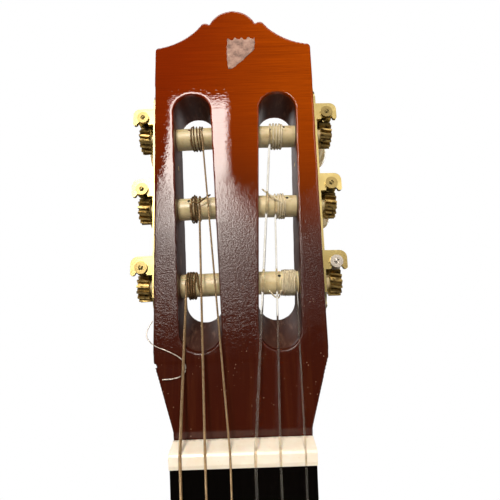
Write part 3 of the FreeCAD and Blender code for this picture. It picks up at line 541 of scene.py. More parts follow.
def bare_wood(name, tone, dark):
    """Sanded wood inside the body."""
    s = Shader(name, tone, roughness=0.7)
    grain = s.noise(1.0, 5.0, 0.7, s.stretch((400.0, 400.0, 30.0)))
    s.to("Base Color", s.ramp(grain, [(0.3, dark), (0.65, tone)]))
    s.to("Normal", s.bump(grain, 0.3, 0.0003))
    return s.material


def ebony():
    """Near black, with fine open grain along the board."""
    s = Shader("ebony", (7, 5, 4), roughness=0.6, Specular_IOR_Level=0.02)
    grain = s.noise(1.0, 5.0, 0.75, s.stretch((1500.0, 1.0, 70.0)))
    s.to("Base Color", s.ramp(grain, [(0.35, (3, 2, 1)), (0.62, (6, 4, 3)), (0.85, (16, 10, 6))]))
    s.to("Roughness", s.between(grain, 0.3, 0.8, 0.45, 0.65))
    s.to("Normal", s.bump(grain, 0.35, 0.0002))
    return s.material


def bone():
    """Cream bone, with painted shade of the strings and grime in the string slots, and grime along
    the edges.
    """
    s = Shader("bone", (240, 222, 194), roughness=0.38)
    s.set("Subsurface Weight", 0.12)
    s.set("Subsurface Scale", 0.002)
    cloud = s.noise(180.0, 4.0, 0.6)
    base = s.ramp(cloud, [(0.3, (242, 229, 206)), (0.7, (250, 241, 224))])
    x, y, z = s.split()
    # a cosine that peaks at each string's line across the nut, where the bone is darkened as painted
    # shade of the string mixed with grime
    pitch = NUT_SPREAD * MM / (len(STRINGS) - 1)
    turn = s.mul(s.add(x, pitch / 2), 2 * math.pi / pitch)
    near = s.between(s.math("COSINE", turn), 0.93, 1.0)
    patchy = s.between(s.noise(300.0, 3.0), 0.35, 0.7, 0.08, 0.4)
    base = s.mix(s.mul(near, patchy), base, (142, 112, 84))
    specks = s.between(s.voronoi(700.0), 0.05, 0.13, 0.35, 0.0)
    base = s.mix(specks, base, (176, 150, 116))
    # where the nut's foot meets the head
    foot = s.mul(s.between(y, -0.0016, -0.0001), s.between(z, 0.003, 0.005))
    foot = s.mul(foot, s.between(s.noise(700.0, 3.0), 0.4, 0.65, 0.1, 0.6))
    base = s.mix(foot, base, (120, 88, 60))
    s.to("Base Color", base)
    s.to("Roughness", s.between(cloud, 0.3, 0.7, 0.3, 0.48))
    s.to("Normal", s.bump(s.noise(900.0, 3.0), 0.12, 0.0002))
    return s.material


def gold_plate(name="gold_plate", tone=(188, 171, 114), dark=(156, 135, 82)):
    """Thin gold plating, tarnished in patches."""
    s = Shader(name, tone, metallic=1.0, roughness=0.26)
    patches = s.noise(110.0, 2.0, 0.5)
    worn = s.between(patches, 0.4, 0.75, 0.0, 0.7)
    s.to("Base Color", s.mix(worn, tone, dark))
    s.to("Roughness", s.between(patches, 0.3, 0.75, 0.27, 0.34))
    s.to("Normal", s.bump(s.noise(900.0, 1.0), 0.02, 0.00005))
    return s.material


def dark_brass():
    """Dull brass with dark grease between the teeth."""
    s = Shader("dark_brass", (150, 118, 62), metallic=1.0, roughness=0.38)
    grease = s.noise(420.0, 4.0, 0.6)
    s.to("Base Color", s.mix(s.between(grease, 0.42, 0.7), (176, 150, 92), (60, 46, 24)))
    s.to("Roughness", s.between(grease, 0.35, 0.7, 0.28, 0.6))
    s.to("Normal", s.bump(s.noise(1400.0, 3.0), 0.2, 0.0001))
    return s.material


def ivory_plastic():
    """Cream plastic, stained, and scratched round the roller by the strings."""
    s = Shader("ivory_plastic", (216, 192, 146), roughness=0.34)
    s.set("Subsurface Weight", 0.1)
    s.set("Subsurface Scale", 0.002)
    stain = s.noise(240.0, 4.0, 0.6)
    base = s.ramp(stain, [(0.3, (186, 168, 124)), (0.7, (212, 196, 152))])
    scratch = s.noise(1.0, 3.0, 0.6, s.stretch((300.0, 3000.0, 3000.0)))
    base = s.mix(s.between(scratch, 0.62, 0.72, 0.0, 0.35), base, (150, 122, 82))
    s.to("Base Color", base)
    s.to("Roughness", s.between(stain, 0.3, 0.7, 0.26, 0.45))
    s.to("Normal", s.bump(scratch, 0.08, 0.0001))
    return s.material


def pearl_plastic():
    """Cream plastic with a pearly swirl, toned darker as painted shade, since the buttons sit in
    shadow behind the head.
    """
    s = Shader("pearl_plastic", (226, 212, 180), roughness=0.22)
    s.set("Subsurface Weight", 0.15)
    s.set("Subsurface Scale", 0.003)
    swirl = s.noise(120.0, 3.0, 0.5, None, 3.0)
    s.to("Base Color", s.ramp(swirl, [(0.3, (176, 154, 112)), (0.5, (204, 184, 142)),
                                      (0.7, (224, 208, 172))]))
    s.to("Normal", s.bump(swirl, 0.05, 0.0002))
    return s.material


def wound_string(name="wound_string", low=(104, 80, 54), mid=(190, 156, 112), high=(232, 204, 162)):
    """Fine wrap wire round a core: ridges along the string, worn and tarnished; the ridges are also
    coloured darker in their grooves and lighter on their crests, as painted shade and painted
    highlight.
    """
    s = Shader(name, mid, metallic=0.9, roughness=0.42)
    ridge = s.wave(0.9, s.stretch((3.2, 1.0, 1.0), s.uv()))
    tarnish = s.noise(500.0, 4.0, 0.6)
    # colour runs from painted shade in the grooves to painted highlight on the crests of the wrap
    base = s.ramp(ridge, [(0.1, low), (0.5, mid), (0.9, high)])
    s.to("Base Color", s.mix(s.between(tarnish, 0.5, 0.72, 0.0, 0.45), base, (112, 80, 50)))
    s.to("Roughness", s.between(tarnish, 0.3, 0.7, 0.32, 0.55))
    s.to("Normal", s.bump(ridge, 0.6, 0.0001))
    return s.material


def clear_nylon(name="clear_nylon", clear=0.97, ior=1.1, dull=(232, 226, 212), pale=(246, 242, 234)):
    """Smooth monofilament, a little cloudy."""
    s = Shader(name, pale, roughness=0.12, IOR=ior)
    s.set("Transmission Weight", clear)
    cloud = s.noise(300.0, 2.0)
    s.to("Base Color", s.ramp(cloud, [(0.3, dull), (0.7, pale)]))
    s.to("Roughness", s.between(cloud, 0.3, 0.7, 0.08, 0.2))
    s.to("Normal", s.bump(s.noise(2000.0, 1.0), 0.05, 0.00005))
    return s.material


def silvery_wire():
    """Bare wrap wire, dull in places."""
    s = Shader("silvery_wire", (214, 206, 196), metallic=0.9, roughness=0.3)
    dull = s.noise(900.0, 3.0)
    s.to("Base Color", s.ramp(dull, [(0.3, (150, 136, 120)), (0.7, (228, 222, 214))]))
    s.to("Roughness", s.between(dull, 0.3, 0.7, 0.22, 0.45))
    return s.material


def nickel_silver():
    """Frets, polished by the strings."""
    s = Shader("nickel_silver", (196, 190, 174), metallic=1.0, roughness=0.24)
    wear = s.noise(700.0, 4.0)
    s.to("Base Color", s.ramp(wear, [(0.3, (160, 150, 128)), (0.7, (206, 201, 188))]))
    s.to("Roughness", s.between(wear, 0.3, 0.7, 0.18, 0.4))
    s.to("Normal", s.bump(s.noise(2400.0), 0.1, 0.00005))
    return s.material


def torn_paper():
    """Grubby backing of a torn label; blotches only, no mark or lettering."""
    s = Shader("torn_paper", (176, 140, 116), roughness=0.85)
    blotch = s.noise(330.0, 4.0, 0.65)
    base = s.ramp(blotch, [(0.32, (98, 76, 68)), (0.5, (146, 116, 102)), (0.72, (176, 144, 128))])
    fibre = s.noise(1.0, 3.0, 0.6, s.stretch((500.0, 500.0, 2600.0)))
    base = s.mix(s.between(fibre, 0.55, 0.75, 0.0, 0.45), base, (128, 98, 84))
    s.to("Base Color", base)
    s.to("Normal", s.bump(fibre, 0.5, 0.0002, s.bump(blotch, 0.4, 0.0003)))
    return s.material


ROSETTE_INNER = 46.5
ROSETTE_OUTER = 61.0


def rosette_mosaic():
    """Rings of dyed wood round the sound hole, with a tile pattern in the widest one."""
    s = Shader("rosette_mosaic", roughness=0.2)
    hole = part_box("rosette")
    centre = (hole[0] + hole[1]) / 2
    x, _, z = s.split()
    dx = s.math("SUBTRACT", x, centre.x)
    dz = s.math("SUBTRACT", z, centre.z)
    radius = s.mul(s.math("SQRT", s.add(s.mul(dx, dx), s.mul(dz, dz))), 1 / MM)
    angle = s.math("ARCTAN2", dz, dx)
    black, cream, red = (24, 12, 8), (208, 166, 106), (110, 26, 12)
    rings = s.ramp(s.between(radius, ROSETTE_INNER, ROSETTE_OUTER),
                   [(0.0, black), (0.05, cream), (0.1, red), (0.17, black),
                    (0.83, black), (0.9, red), (0.95, cream), (1.0, black)])
    tile_place = s.combine(s.mul(angle, 24.0), s.mul(radius, 0.6), 0.0)
    node = s.tree.nodes.new("ShaderNodeTexChecker")
    node.inputs["Scale"].default_value = 1.0
    node.inputs["Color1"].default_value = srgb(58, 20, 10)
    node.inputs["Color2"].default_value = srgb(186, 128, 70)
    s.link(tile_place, node.inputs["Vector"])
    inside = s.mul(s.between(radius, 50.4, 50.8), s.between(radius, 56.8, 57.2, 1.0, 0.0))
    s.to("Base Color", s.mix(inside, rings, node.outputs["Color"]))
    s.to("Normal", s.bump(s.noise(1200.0), 0.05, 0.0001))
    return s.material


def string_hole():
    """A dark colour as painted shade inside the hole that a string goes through."""
    s = Shader("string_hole", (24, 15, 8), roughness=0.8)
    s.to("Base Color", s.ramp(s.noise(2000.0), [(0.3, (14, 9, 5)), (0.7, (46, 32, 18))]))
    return s.material


def build_materials():
    """Every material, by the name that the pieces ask for."""
    return {
        "head": head_lacquer(),
        "neck": neck_lacquer(),
        "cedar": striped_wood("cedar_top", (132, 72, 30), (190, 122, 60), (222, 162, 94), 300.0),
        "rosewood": striped_wood("rosewood", (26, 11, 7), (58, 25, 14), (96, 46, 24),
                                 200.0, 0.2, 4.0, 0.05),
        "dark_rosewood": striped_wood("dark_rosewood", (20, 10, 7), (40, 20, 13), (62, 32, 20),
                                      420.0, 0.4, 3.0, 0.3),
        "binding": striped_wood("binding_wood", (16, 8, 6), (28, 13, 9), (40, 20, 13), 500.0),
        "mahogany": bare_wood("bare_mahogany", (150, 98, 66), (108, 64, 40)),
        "spruce": bare_wood("bare_spruce", (214, 184, 136), (188, 152, 100)),
        "ebony": ebony(),
        "bone": bone(),
        "gold": gold_plate(),
        "gold_screw": gold_plate("gold_screw", (230, 200, 128), (90, 70, 34)),
        "steel": gold_plate("silvery_nose", (206, 200, 190), (170, 160, 146)),
        "nose": gold_plate("gilt_worm", (150, 132, 84), (96, 80, 46)),
        "brass": dark_brass(),
        "ivory": ivory_plastic(),
        "pearl": pearl_plastic(),
        "wound": wound_string(),
        # a darker copy of the wrap for the turns on the rollers, toned down as painted shade
        "wound_shaded": wound_string("dull_wrap", (70, 52, 32), (132, 104, 68), (186, 154, 110)),
        "nylon": clear_nylon(),
        "milky": clear_nylon("milky_nylon", 0.3, 1.3, (216, 202, 168), (234, 222, 192)),
        "wire": silvery_wire(),
        "nickel": nickel_silver(),
        "paper": torn_paper(),
        "rosette": rosette_mosaic(),
        "hole": string_hole(),
    }


# ---- head -------------------------------------------------------------------------------
VOXEL = 0.45


def soft_head(materials):
    """The head with every edge softly rounded, as thick lacquer leaves it."""
    mesh = NODES["headstock"].data.copy()
    obj = bpy.data.objects.new("head_soft", mesh)
    bpy.context.scene.collection.objects.link(obj)
    turn = Matrix.Rotation(HEAD_ANGLE, 4, "X")
    mesh.transform(turn)
    remesh = obj.modifiers.new("voxels", "REMESH")
    remesh.mode = "VOXEL"
    remesh.voxel_size = VOXEL * MM
    remesh.use_smooth_shade = True
    soft = obj.modifiers.new("soft", "SMOOTH")
    soft.factor = 0.5
    soft.iterations = 3
    deps = bpy.context.evaluated_depsgraph_get()
    result = bpy.data.meshes.new_from_object(obj.evaluated_get(deps))
    obj.modifiers.clear()
    obj.data = result
    result.transform(turn.inverted())
    result.polygons.foreach_set("use_smooth", [True] * len(result.polygons))
    bpy.data.meshes.remove(mesh)
    finish_piece(obj, materials["head"], "guitar", ("headstock",))


# ---- strings ----------------------------------------------------------------------------
def spread_x(string, spread):
    """X of a string where the six lie evenly over a given width."""
    return spread * (STRINGS.index(string) / (len(STRINGS) - 1) - 0.5)


def nut_point(string):
    """The middle of a string over its slot in the nut, in metres."""
    y = -(BOARD_NUT_THICK + NUT_LIFT + string.diameter / 2)
    return Vector((spread_x(string, NUT_SPREAD), y, NUT_SLOT_Z)) * MM


def touch_down(string):
    """Where a string from the nut meets the front of its roller, and at what angle."""
    reach = ROLLER_R + string.diameter / 2
    v, w = head_coords(nut_point(string))[1:]
    roller_v = ROLLER_V[string.roller]
    v_axis = roller_v + (edge_x(roller_v) - abs(string.x_on)) * math.tan(EDGE_TURN)
    dv = v_axis - v
    dw = ROLLER_W - w
    far = math.hypot(dv, dw)
    angle = math.atan2(dw, dv) - math.asin(reach / far)
    run = math.sqrt(far ** 2 - reach ** 2)
    v_on = v + run * math.cos(angle)
    place = head(string.x_on, v_on, w + run * math.sin(angle))
    return place, math.asin((v_on - v_axis) / reach)


def stretched_string(string, materials):
    """A string from its loop through the bridge, over saddle and nut, to its roller."""
    r = string.diameter / 2
    x = spread_x(string, SADDLE_SPREAD)
    top = -(TIE_TOP + r + TIE_CLEAR)
    back = BRIDGE_BACK_Z - r - BRIDGE_BEHIND
    over_saddle = -(SADDLE_TOP + r + SADDLE_CLEAR)
    corners = [Vector((x, y, z)) * MM for y, z in (
        (top, TIE_FRONT_Z - TIE_END), (top, back), (TIE_HOLE_Y, back),
        (TIE_HOLE_Y, TIE_FRONT_Z + TIE_HOLE_AHEAD), (over_saddle, SADDLE_Z))]
    corners += [nut_point(string), touch_down(string)[0]]
    loop_r = 0.9 * abs(top - TIE_HOLE_Y) / 2
    radii = [c * MM for c in (loop_r, loop_r, 2.2, 3.0, 6.0)]
    obj = tube("string_run_" + string.name, bend_route(corners, radii), r * MM, 16)
    material = materials["wound" if string.side < 0 else "nylon"]
    finish_piece(obj, material, "guitar", ("string_" + string.name,))


# where each turn lies along the roller, X in mm at every half turn from the string's touch-down
LAY = {
    "e6": (-22.3, -21.9, -21.2, -20.8, -20.1, -19.6, -19.0),
    "a5": (-16.8, -17.4, -18.0, -19.6, -20.3, -19.2, -18.9, -20.2, -20.7),
    "d4": (-15.6, -16.0, -16.6, -17.2, -17.9, -20.1, -20.6, -18.9, -19.4, -20.8),
    "g3": (16.1, 16.9, 17.6, 18.3, 19.0, 19.7, 20.4, 21.1, 21.4),
    "b2": (16.7, 17.5, 18.2, 18.8, 19.3, 19.8, 20.3, 20.8, 21.2),
    "e1": (23.9, 23.5, 23.2, 22.8, 22.4, 22.0, 21.7, 21.3, 20.9, 20.6, 20.2, 19.8, 19.5, 19.1,
           18.7, 18.3, 18.0),
}

# loose ends past the last turn: (X, turn angle in degrees, height over the roller in mm)
TAILS = {
    "e6": ((-18.6, 20, 0.6), (-18.0, 45, 1.1), (-16.9, -10, 2.2), (-15.6, -34, 2.8)),
    "a5": ((-19.6, 8, 1.1), (-17.2, 2, 1.9), (-14.4, 14, 2.4), (-11.6, 30, 2.5)),
    "d4": ((-20.9, -30, 0.5), (-20.0, -62, 1.2)),
    "g3": ((21.5, 20, 0.5), (21.2, 40, 0.2)),
    "b2": ((15.9, 18, 1.2), (13.2, 34, 2.0), (11.2, 56, 2.6)),
    "e1": ((17.6, -40, 0.8), (16.4, -66, 2.0), (14.4, -50, 2.6), (12.4, -30, 2.7)),
}


def on_roller(string, x, angle, height):
    """A point over a string's roller, angle measured from its front over the top."""
    v = ROLLER_V[string.roller]
    reach = ROLLER_R + height
    out = x - string.side * edge_x(v)
    return at_edge(string.side, v, out, ROLLER_W - reach * math.cos(angle), reach * math.sin(angle))


LAY_STEPS = 14
WOUND_THICK = 0.86
NYLON_THICK = 0.92


def wound_turns(string, material):
    """The turns of string on the roller, each lying where LAY says."""
    name, d = string.name, string.diameter
    phase = touch_down(string)[1]
    lay = LAY[name]
    seed = random.Random(name)
    drift = [seed.uniform(0.0, 0.22) for _ in range(len(lay) + 1)]
    points = []
    for i in range((len(lay) - 1) * LAY_STEPS + 1):
        t = i / LAY_STEPS
        j = min(int(t), len(lay) - 2)
        f = t - j
        ease = f * f * (3 - 2 * f)
        x = lay[j] + (lay[j + 1] - lay[j]) * ease
        lift = drift[j] + (drift[j + 1] - drift[j]) * ease
        # a turn that crosses an earlier one climbs over it
        if any(abs(other - x) < d * 0.75 for other in lay[:max(j - 1, 0)]):
            lift += d * 0.8 * math.sin(math.pi * f) ** 2
        points.append(on_roller(string, x, phase + math.pi * t, d / 2 + lift * min(t, 1.0)))
    thick = WOUND_THICK if string.side < 0 else NYLON_THICK
    obj = tube("turns_" + name, points, d / 2 * MM * thick, 14)
    finish_piece(obj, material, "roller_set_" + name, ("winding_" + name,))


def loose_end(string, material):
    """The cut end of string past its last turn, as TAILS says."""
    name, r = string.name, string.diameter / 2
    tail = [on_roller(string, x, math.radians(a), r + h) for x, a, h in TAILS[name]]
    start = on_roller(string, LAY[name][-1], math.radians(TAILS[name][0][1] - 30), r * 0.4)
    points = curve_through([start] + tail)
    thick = [r * MM * 0.92] * (len(points) - 2) + [r * MM * 0.7] * 2
    obj = tube("loose_end_" + name, points, thick, 12)
    finish_piece(obj, material, "roller_set_" + name)


# ---- tuners -----------------------------------------------------------------------------
def tuner_directions(side):
    """Outwards from the head's edge times side, and up its edge."""
    origin = at_edge(side, 0, 0, 0, 0)
    x_dir = (at_edge(side, 0, 1, 0, 0) - origin).normalized()
    z_dir = (at_edge(side, 0, 0, 0, 1) - origin).normalized()
    return x_dir, z_dir


def roller_piece(string, materials):
    """Moulded sleeve with softened ends, a faint parting ridge, and its axle's end."""
    name, side = string.name, string.side
    v = ROLLER_V[string.roller]
    x_dir, z_dir = tuner_directions(side)
    inner = ROLLER_INNER_X - edge_x(v)
    outer = -ROLLER_SHORT
    profile = [(inner, 0.0), (inner, ROLLER_R - 0.5), (inner + 0.15, ROLLER_R - 0.15),
               (inner + 0.5, ROLLER_R)]
    steps = 18
    for i in range(1, steps):
        along = inner + 0.5 + (outer - inner - 1.0) * (i / steps)
        profile.append((along, ROLLER_R - 0.02 * (i % 2)))
    profile += [(outer - 0.5, ROLLER_R), (outer - 0.15, ROLLER_R - 0.15), (outer, ROLLER_R - 0.5),
                (outer, AXLE_R), (AXLE_OUT, AXLE_R), (AXLE_OUT, 0.0)]
    origin = at_edge(side, v, 0, ROLLER_W, 0)
    obj = revolve("roller_sleeve_" + name, profile, origin, x_dir * side, z_dir, 64)
    shade_by_angle(obj)
    finish_piece(obj, materials["ivory"], "roller_set_" + name, ("roller_" + name,))
    # the string's hole through the sleeve, a dimple beside the last turn coloured dark as painted
    # shade
    beside = STRING_HOLE_BESIDE if string.x_last > string.x_on else -STRING_HOLE_BESIDE
    middle = on_roller(string, string.x_last + beside, STRING_HOLE_ANGLE, 0.012)
    below = on_roller(string, string.x_last + beside, STRING_HOLE_ANGLE, -1.0)
    rim = [(0.0, 0.05), (0.0, 0.48), (0.03, 0.62), (-0.06, 0.7), (-0.4, 0.7)]
    dot = revolve("string_hole_" + name, rim, middle, (middle - below).normalized(), x_dir, 24)
    finish_piece(dot, materials["hole"], "roller_set_" + name)


def squared(c, power):
    """A cosine or sine pushed outwards, which squares an oval off a little."""
    return math.copysign(abs(c) ** power, c)


def button_piece(string, material):
    """Oval pearloid button, flatter than round, and the stem that grips the shaft."""
    name, side = string.name, string.side
    v = ROLLER_V[string.roller]
    x_dir, z_dir = tuner_directions(side)
    centre = at_edge(side, v, side * WORM_U, BUTTON_W, WORM_GAP)
    rows, sides = 26, 40
    turn = math.radians(BUTTON_TURNS[name])
    broad = x_dir * math.cos(turn) - z_dir * math.sin(turn)
    narrow = x_dir * math.sin(turn) + z_dir * math.cos(turn)
    verts = []
    for i in range(rows + 1):
        a = math.pi * i / rows
        along = -math.cos(a) * BUTTON_DEEP
        ring = max(math.sin(a), 0.0) ** 0.85
        for j in range(sides):
            b = 2 * math.pi * j / sides
            cx = squared(math.cos(b), 0.9) * ring * BUTTON_LONG
            cz = squared(math.sin(b), 0.9) * ring * BUTTON_NARROW
            verts.append(centre + (broad * cx + narrow * cz + INTO_HEAD * along) * MM)
    obj = make_object("button_oval_" + name, verts, ring_faces(rows + 1, sides))
    bm = bmesh.new()
    bm.from_mesh(obj.data)
    bmesh.ops.remove_doubles(bm, verts=bm.verts, dist=1e-6)
    bmesh.ops.recalc_face_normals(bm, faces=bm.faces)
    bm.to_mesh(obj.data)
    bm.free()
    finish_piece(obj, material, "button_set_" + name, ("button_" + name,))
    stem_start = at_edge(side, v, side * WORM_U, BUTTON_W - STEM_LENGTH, WORM_GAP)
    stem = [(0.0, 1.6), (0.0, 2.7), (0.4, 3.05), (1.2, 3.05), (1.7, 2.6), (3.6, 2.5), (6.0, 3.0)]
    obj = revolve("button_stem_" + name, stem, stem_start, INTO_HEAD, z_dir, 40)
    shade_by_angle(obj)
    finish_piece(obj, material, "button_set_" + name)


# ---- leftovers on the head --------------------------------------------------------------
# points that steer the broken wire's curl, in metres
LOOSE_WIRE = ((-0.035, 0.012268, 0.047506), (-0.0379, 0.009356, 0.043516),
              (-0.0344, 0.00794, 0.038925), (-0.0282, 0.00774, 0.036599),
              (-0.0222, 0.006996, 0.033383), (-0.0209, 0.005824, 0.028934),
              (-0.0252, 0.00504, 0.026349), (-0.0302, 0.004994, 0.026568))


def loose_wire(materials):
    """A thin end of wire that curls over the head's lower bass corner."""
    curve = bpy.data.curves.new("loose_wire_end", "CURVE")
    curve.dimensions = "3D"
    curve.bevel_depth = 0.0002
    curve.bevel_resolution = 3
    curve.resolution_u = 12
    curve.use_fill_caps = True
    spline = curve.splines.new("NURBS")
    spline.points.add(len(LOOSE_WIRE) - 1)
    for point, place in zip(spline.points, LOOSE_WIRE):
        point.co = (*place, 1.0)
    spline.order_u = 3
    spline.use_endpoint_u = True
    obj = bpy.data.objects.new("loose_wire_end", curve)
    bpy.context.scene.collection.objects.link(obj)
    finish_piece(obj, materials["wire"], "guitar", ("loose_wire",))


LABEL_LOW_V = 157.9
LABEL_TALL = 16.0
LABEL_LEFT_X = -2.4
LABEL_TIP = 1.2
LABEL_FLARE = 11.9
PAPER_THICK = 0.08
PAPER_LIFT = 0.03


def torn_label(materials):
    """A scrap of label backing with a ragged top edge, one curled side and a torn point."""
    rows, cols = 26, 20
    seed = random.Random(4)
    ragged = [seed.uniform(-0.35, 0.35) for _ in range(cols + 1)]
    teeth = [0.9 if i % 5 in (0, 1) else 0.0 for i in range(cols + 1)]
    verts = []
    for i in range(rows + 1):
        f = i / rows
        left = LABEL_LEFT_X - 0.5 * math.sin(f * 3.0) + 0.08 * math.sin(f * 31)
        reach = LABEL_TIP + LABEL_FLARE * min(1.0, f * 1.55) ** 0.8
        right = left + reach + 0.12 * math.sin(f * 23 + 1)
        for j in range(cols + 1):
            g = j / cols
            top = (ragged[j] + teeth[j]) * max(0.0, (f - 0.9) / 0.1)
            lift = 0.10 + 0.05 * math.sin(g * 5 + f * 4) * max(f, g)
            x = left + (right - left) * g
            verts.append(head(x, LABEL_LOW_V + LABEL_TALL * f + top, -max(lift, PAPER_LIFT)))
    faces = []
    for i in range(rows):
        for j in range(cols):
            a = i * (cols + 1) + j
            faces.append((a, a + 1, a + cols + 2, a + cols + 1))
    obj = make_object("label_scrap", verts, faces)
    thick = obj.modifiers.new("paper", "SOLIDIFY")
    thick.thickness = PAPER_THICK * MM
    thick.offset = -1
    finish_piece(obj, materials["paper"], "guitar", ("label_remnant",))


# ---- CAD nodes that stay ----------------------------------------------------------------
NODE_LOOKS = {
    "soundboard": "cedar", "rosette": "rosette", "back_plate": "rosewood", "bindings": "binding",
    "side_bass": "rosewood", "side_treble": "rosewood", "neck_block": "mahogany",
    "tail_block": "mahogany", "linings": "spruce", "soundboard_braces": "spruce",
    "back_braces": "spruce", "bridge": "dark_rosewood", "saddle": "bone", "neck": "neck",
    "heel_cap": "dark_rosewood", "fingerboard": "ebony", "frets": "nickel", "nut": "bone",
    "tuner_plate_bass": "gold", "tuner_plate_treble": "gold", "plate_screws": "gold_screw",
}
# width in millimetres of the rounding on each node's edges
NODE_EDGES = {"nut": 0.35, "bridge": 0.3, "saddle": 0.2, "fingerboard": 0.3, "bindings": 0.6,
              "tuner_plate_bass": 0.25, "tuner_plate_treble": 0.25}


def dress_node(name, material):
    obj = NODES[name]
    obj.data.materials.clear()
    obj.data.materials.append(material)
    if name in NODE_EDGES:
        add_bevel(obj, NODE_EDGES[name])


def dress_nodes(materials):
    """Materials for the CAD's own pieces; the lowest treble worm is a plain steel one."""
    for name, look in NODE_LOOKS.items():
        dress_node(name, materials[look])
    for string in STRINGS:
        dress_node("gear_" + string.name, materials["brass"])
        nose = "steel" if string.name == "e1" else "nose"
        dress_node("worm_shaft_" + string.name, materials[nose])


# ---- stage ------------------------------------------------------------------------------
FLOOR_CENTRE = (0.0, -0.95)
FLOOR_RADIUS = 1.8


def make_stage():
    """A round pale floor just under the tail, clear of the view past the head."""
    floor_z = min(CAD_BOUNDS[0][2], CAD_BOUNDS[1][2])
    sides = 96
    verts = [(*FLOOR_CENTRE, floor_z)]
    for i in range(sides):
        a = 2 * math.pi * i / sides
        verts.append((FLOOR_CENTRE[0] + FLOOR_RADIUS * math.cos(a),
                      FLOOR_CENTRE[1] + FLOOR_RADIUS * math.sin(a), floor_z))
    faces = [(0, 1 + i, 1 + (i + 1) % sides) for i in range(sides)]
    floor = make_object("floor", verts, faces, smooth=False)
    s = Shader("floor_paint", (250, 249, 247), roughness=0.9)
    s.to("Base Color", s.ramp(s.noise(3.0, 2.0), [(0.3, (230, 229, 227)), (0.7, (238, 237, 235))]))
    floor.data.materials.append(s.material)


def area_light(name, place, target, width, height, radiance, colour):
    """A soft rectangular lamp of a given brightness that faces a target."""
    light = bpy.data.lights.new(name, "AREA")
    light.shape = "RECTANGLE"
    light.size = width
    light.size_y = height
    light.energy = radiance * math.pi * width * height
    light.color = colour
    obj = bpy.data.objects.new(name, light)
    bpy.context.scene.collection.objects.link(obj)
    obj.location = place
    heading = Vector(target) - Vector(place)
    obj.rotation_euler = heading.to_track_quat("-Z", "Y").to_euler()
    obj.visible_camera = False


WORLD_DIFFUSE = 0.10
WORLD_GLOSSY = 0.03
WORLD_GLOSSY_TINT = (1.0, 0.82, 0.66, 1)
WARM_WHITE = (1.0, 0.93, 0.86)
WHITE = (1, 1, 1)

# name, place, target, width, height, radiance and colour of each lamp, in metres
LAMPS = (
    ("window", (-0.19, -0.9, 0.89), (-0.19, 0.0, 0.89), 0.24, 0.76, 30.0, WARM_WHITE),
    ("side_panel", (0.45, -0.9, 0.9), (0.45, 0.0, 0.9), 0.24, 0.8, 4.0, WARM_WHITE),
    ("overhead", (-0.05, -0.32, 1.7), (0, 0.02, 0.1), 0.8, 0.5, 7.3, WARM_WHITE),
    ("left_fill", (-1.6, -0.8, 0.5), (0, 0.05, -0.1), 0.9, 1.4, 2.0, WARM_WHITE),
    ("right_fill", (1.6, -0.8, 0.4), (0, 0.05, -0.1), 0.9, 1.4, 1.5, WARM_WHITE),
    ("body_key", (1.5, -1.3, -0.7), (0, 0.0, -0.55), 0.8, 0.6, 5.0, WARM_WHITE),
    ("rear_left", (-1.2, 1.7, 0.9), (0, 0.05, -0.3), 1.0, 1.4, 5.0, WHITE),
    ("rear_right", (1.5, 1.5, 0.2), (0, 0.05, -0.3), 1.0, 1.4, 3.5, WHITE),
)


def background(tree, strength, colour=(1, 1, 1, 1)):
    node = tree.nodes.new("ShaderNodeBackground")
    node.inputs["Color"].default_value = colour
    node.inputs["Strength"].default_value = strength
    return node.outputs[0]


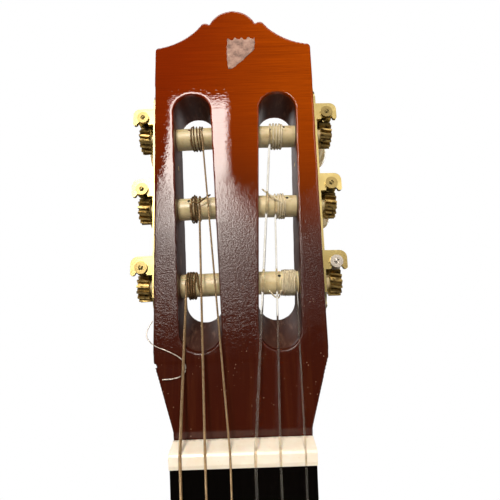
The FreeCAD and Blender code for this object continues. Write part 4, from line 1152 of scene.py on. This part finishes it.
def make_world():
    """White behind the object, dim where the object reflects it."""
    world = bpy.data.worlds.new("studio")
    bpy.context.scene.world = world
    world.use_nodes = True
    tree = world.node_tree
    tree.nodes.clear()
    out = tree.nodes.new("ShaderNodeOutputWorld")
    path = tree.nodes.new("ShaderNodeLightPath")
    glossy = tree.nodes.new("ShaderNodeMixShader")
    tree.links.new(path.outputs["Is Glossy Ray"], glossy.inputs[0])
    tree.links.new(background(tree, WORLD_DIFFUSE), glossy.inputs[1])
    tree.links.new(background(tree, WORLD_GLOSSY, WORLD_GLOSSY_TINT), glossy.inputs[2])
    seen = tree.nodes.new("ShaderNodeMixShader")
    direct = tree.nodes.new("ShaderNodeMath")
    direct.operation = "MAXIMUM"
    tree.links.new(path.outputs["Is Camera Ray"], direct.inputs[0])
    tree.links.new(path.outputs["Is Transmission Ray"], direct.inputs[1])
    tree.links.new(direct.outputs[0], seen.inputs[0])
    tree.links.new(glossy.outputs[0], seen.inputs[1])
    tree.links.new(background(tree, 1.0), seen.inputs[2])
    tree.links.new(seen.outputs[0], out.inputs[0])


def make_lights():
    """A tall window in front and to the left, light from above, and soft lamps all round."""
    make_world()
    for lamp in LAMPS:
        area_light(*lamp)


# the photograph's viewpoint: place, lens and film width in millimetres, turns in radians
CAMERA_PLACE = (4.76, -125.8, 80.6)
CAMERA_YAW = 0.001
CAMERA_PITCH = -0.043
CAMERA_ROLL = -0.034
LENS = 25.07
FILM_WIDTH = 36.0


def make_camera():
    """A wide lens close to the head, looking almost straight along +Y."""
    level = math.cos(CAMERA_PITCH)
    forward = Vector((math.sin(CAMERA_YAW) * level, math.cos(CAMERA_YAW) * level,
                      math.sin(CAMERA_PITCH)))
    right = Vector((math.cos(CAMERA_YAW), -math.sin(CAMERA_YAW), 0))
    up = right.cross(forward)
    rolled_right = right * math.cos(CAMERA_ROLL) + up * math.sin(CAMERA_ROLL)
    rolled_up = up * math.cos(CAMERA_ROLL) - right * math.sin(CAMERA_ROLL)
    data = bpy.data.cameras.new("camera")
    data.sensor_width = FILM_WIDTH
    data.lens = LENS
    data.clip_start = 0.01
    data.clip_end = 50.0
    cam = bpy.data.objects.new("camera", data)
    bpy.context.scene.collection.objects.link(cam)
    turn = Matrix((rolled_right, rolled_up, -forward)).transposed().to_4x4()
    cam.matrix_world = Matrix.Translation(Vector(CAMERA_PLACE) * MM) @ turn
    bpy.context.scene.camera = cam


def main():
    make_camera()
    materials = build_materials()
    dress_nodes(materials)
    soft_head(materials)
    for string in STRINGS:
        # the turns and ends on the rollers take the darker copy of the wrap, painted shade
        turns_look = materials["wound_shaded" if string.side < 0 else "milky"]
        stretched_string(string, materials)
        wound_turns(string, turns_look)
        loose_end(string, turns_look)
        roller_piece(string, materials)
        button_piece(string, materials["pearl"])
    loose_wire(materials)
    torn_label(materials)
    make_stage()
    make_lights()
    bpy.context.scene.view_settings.view_transform = "Standard"


main()
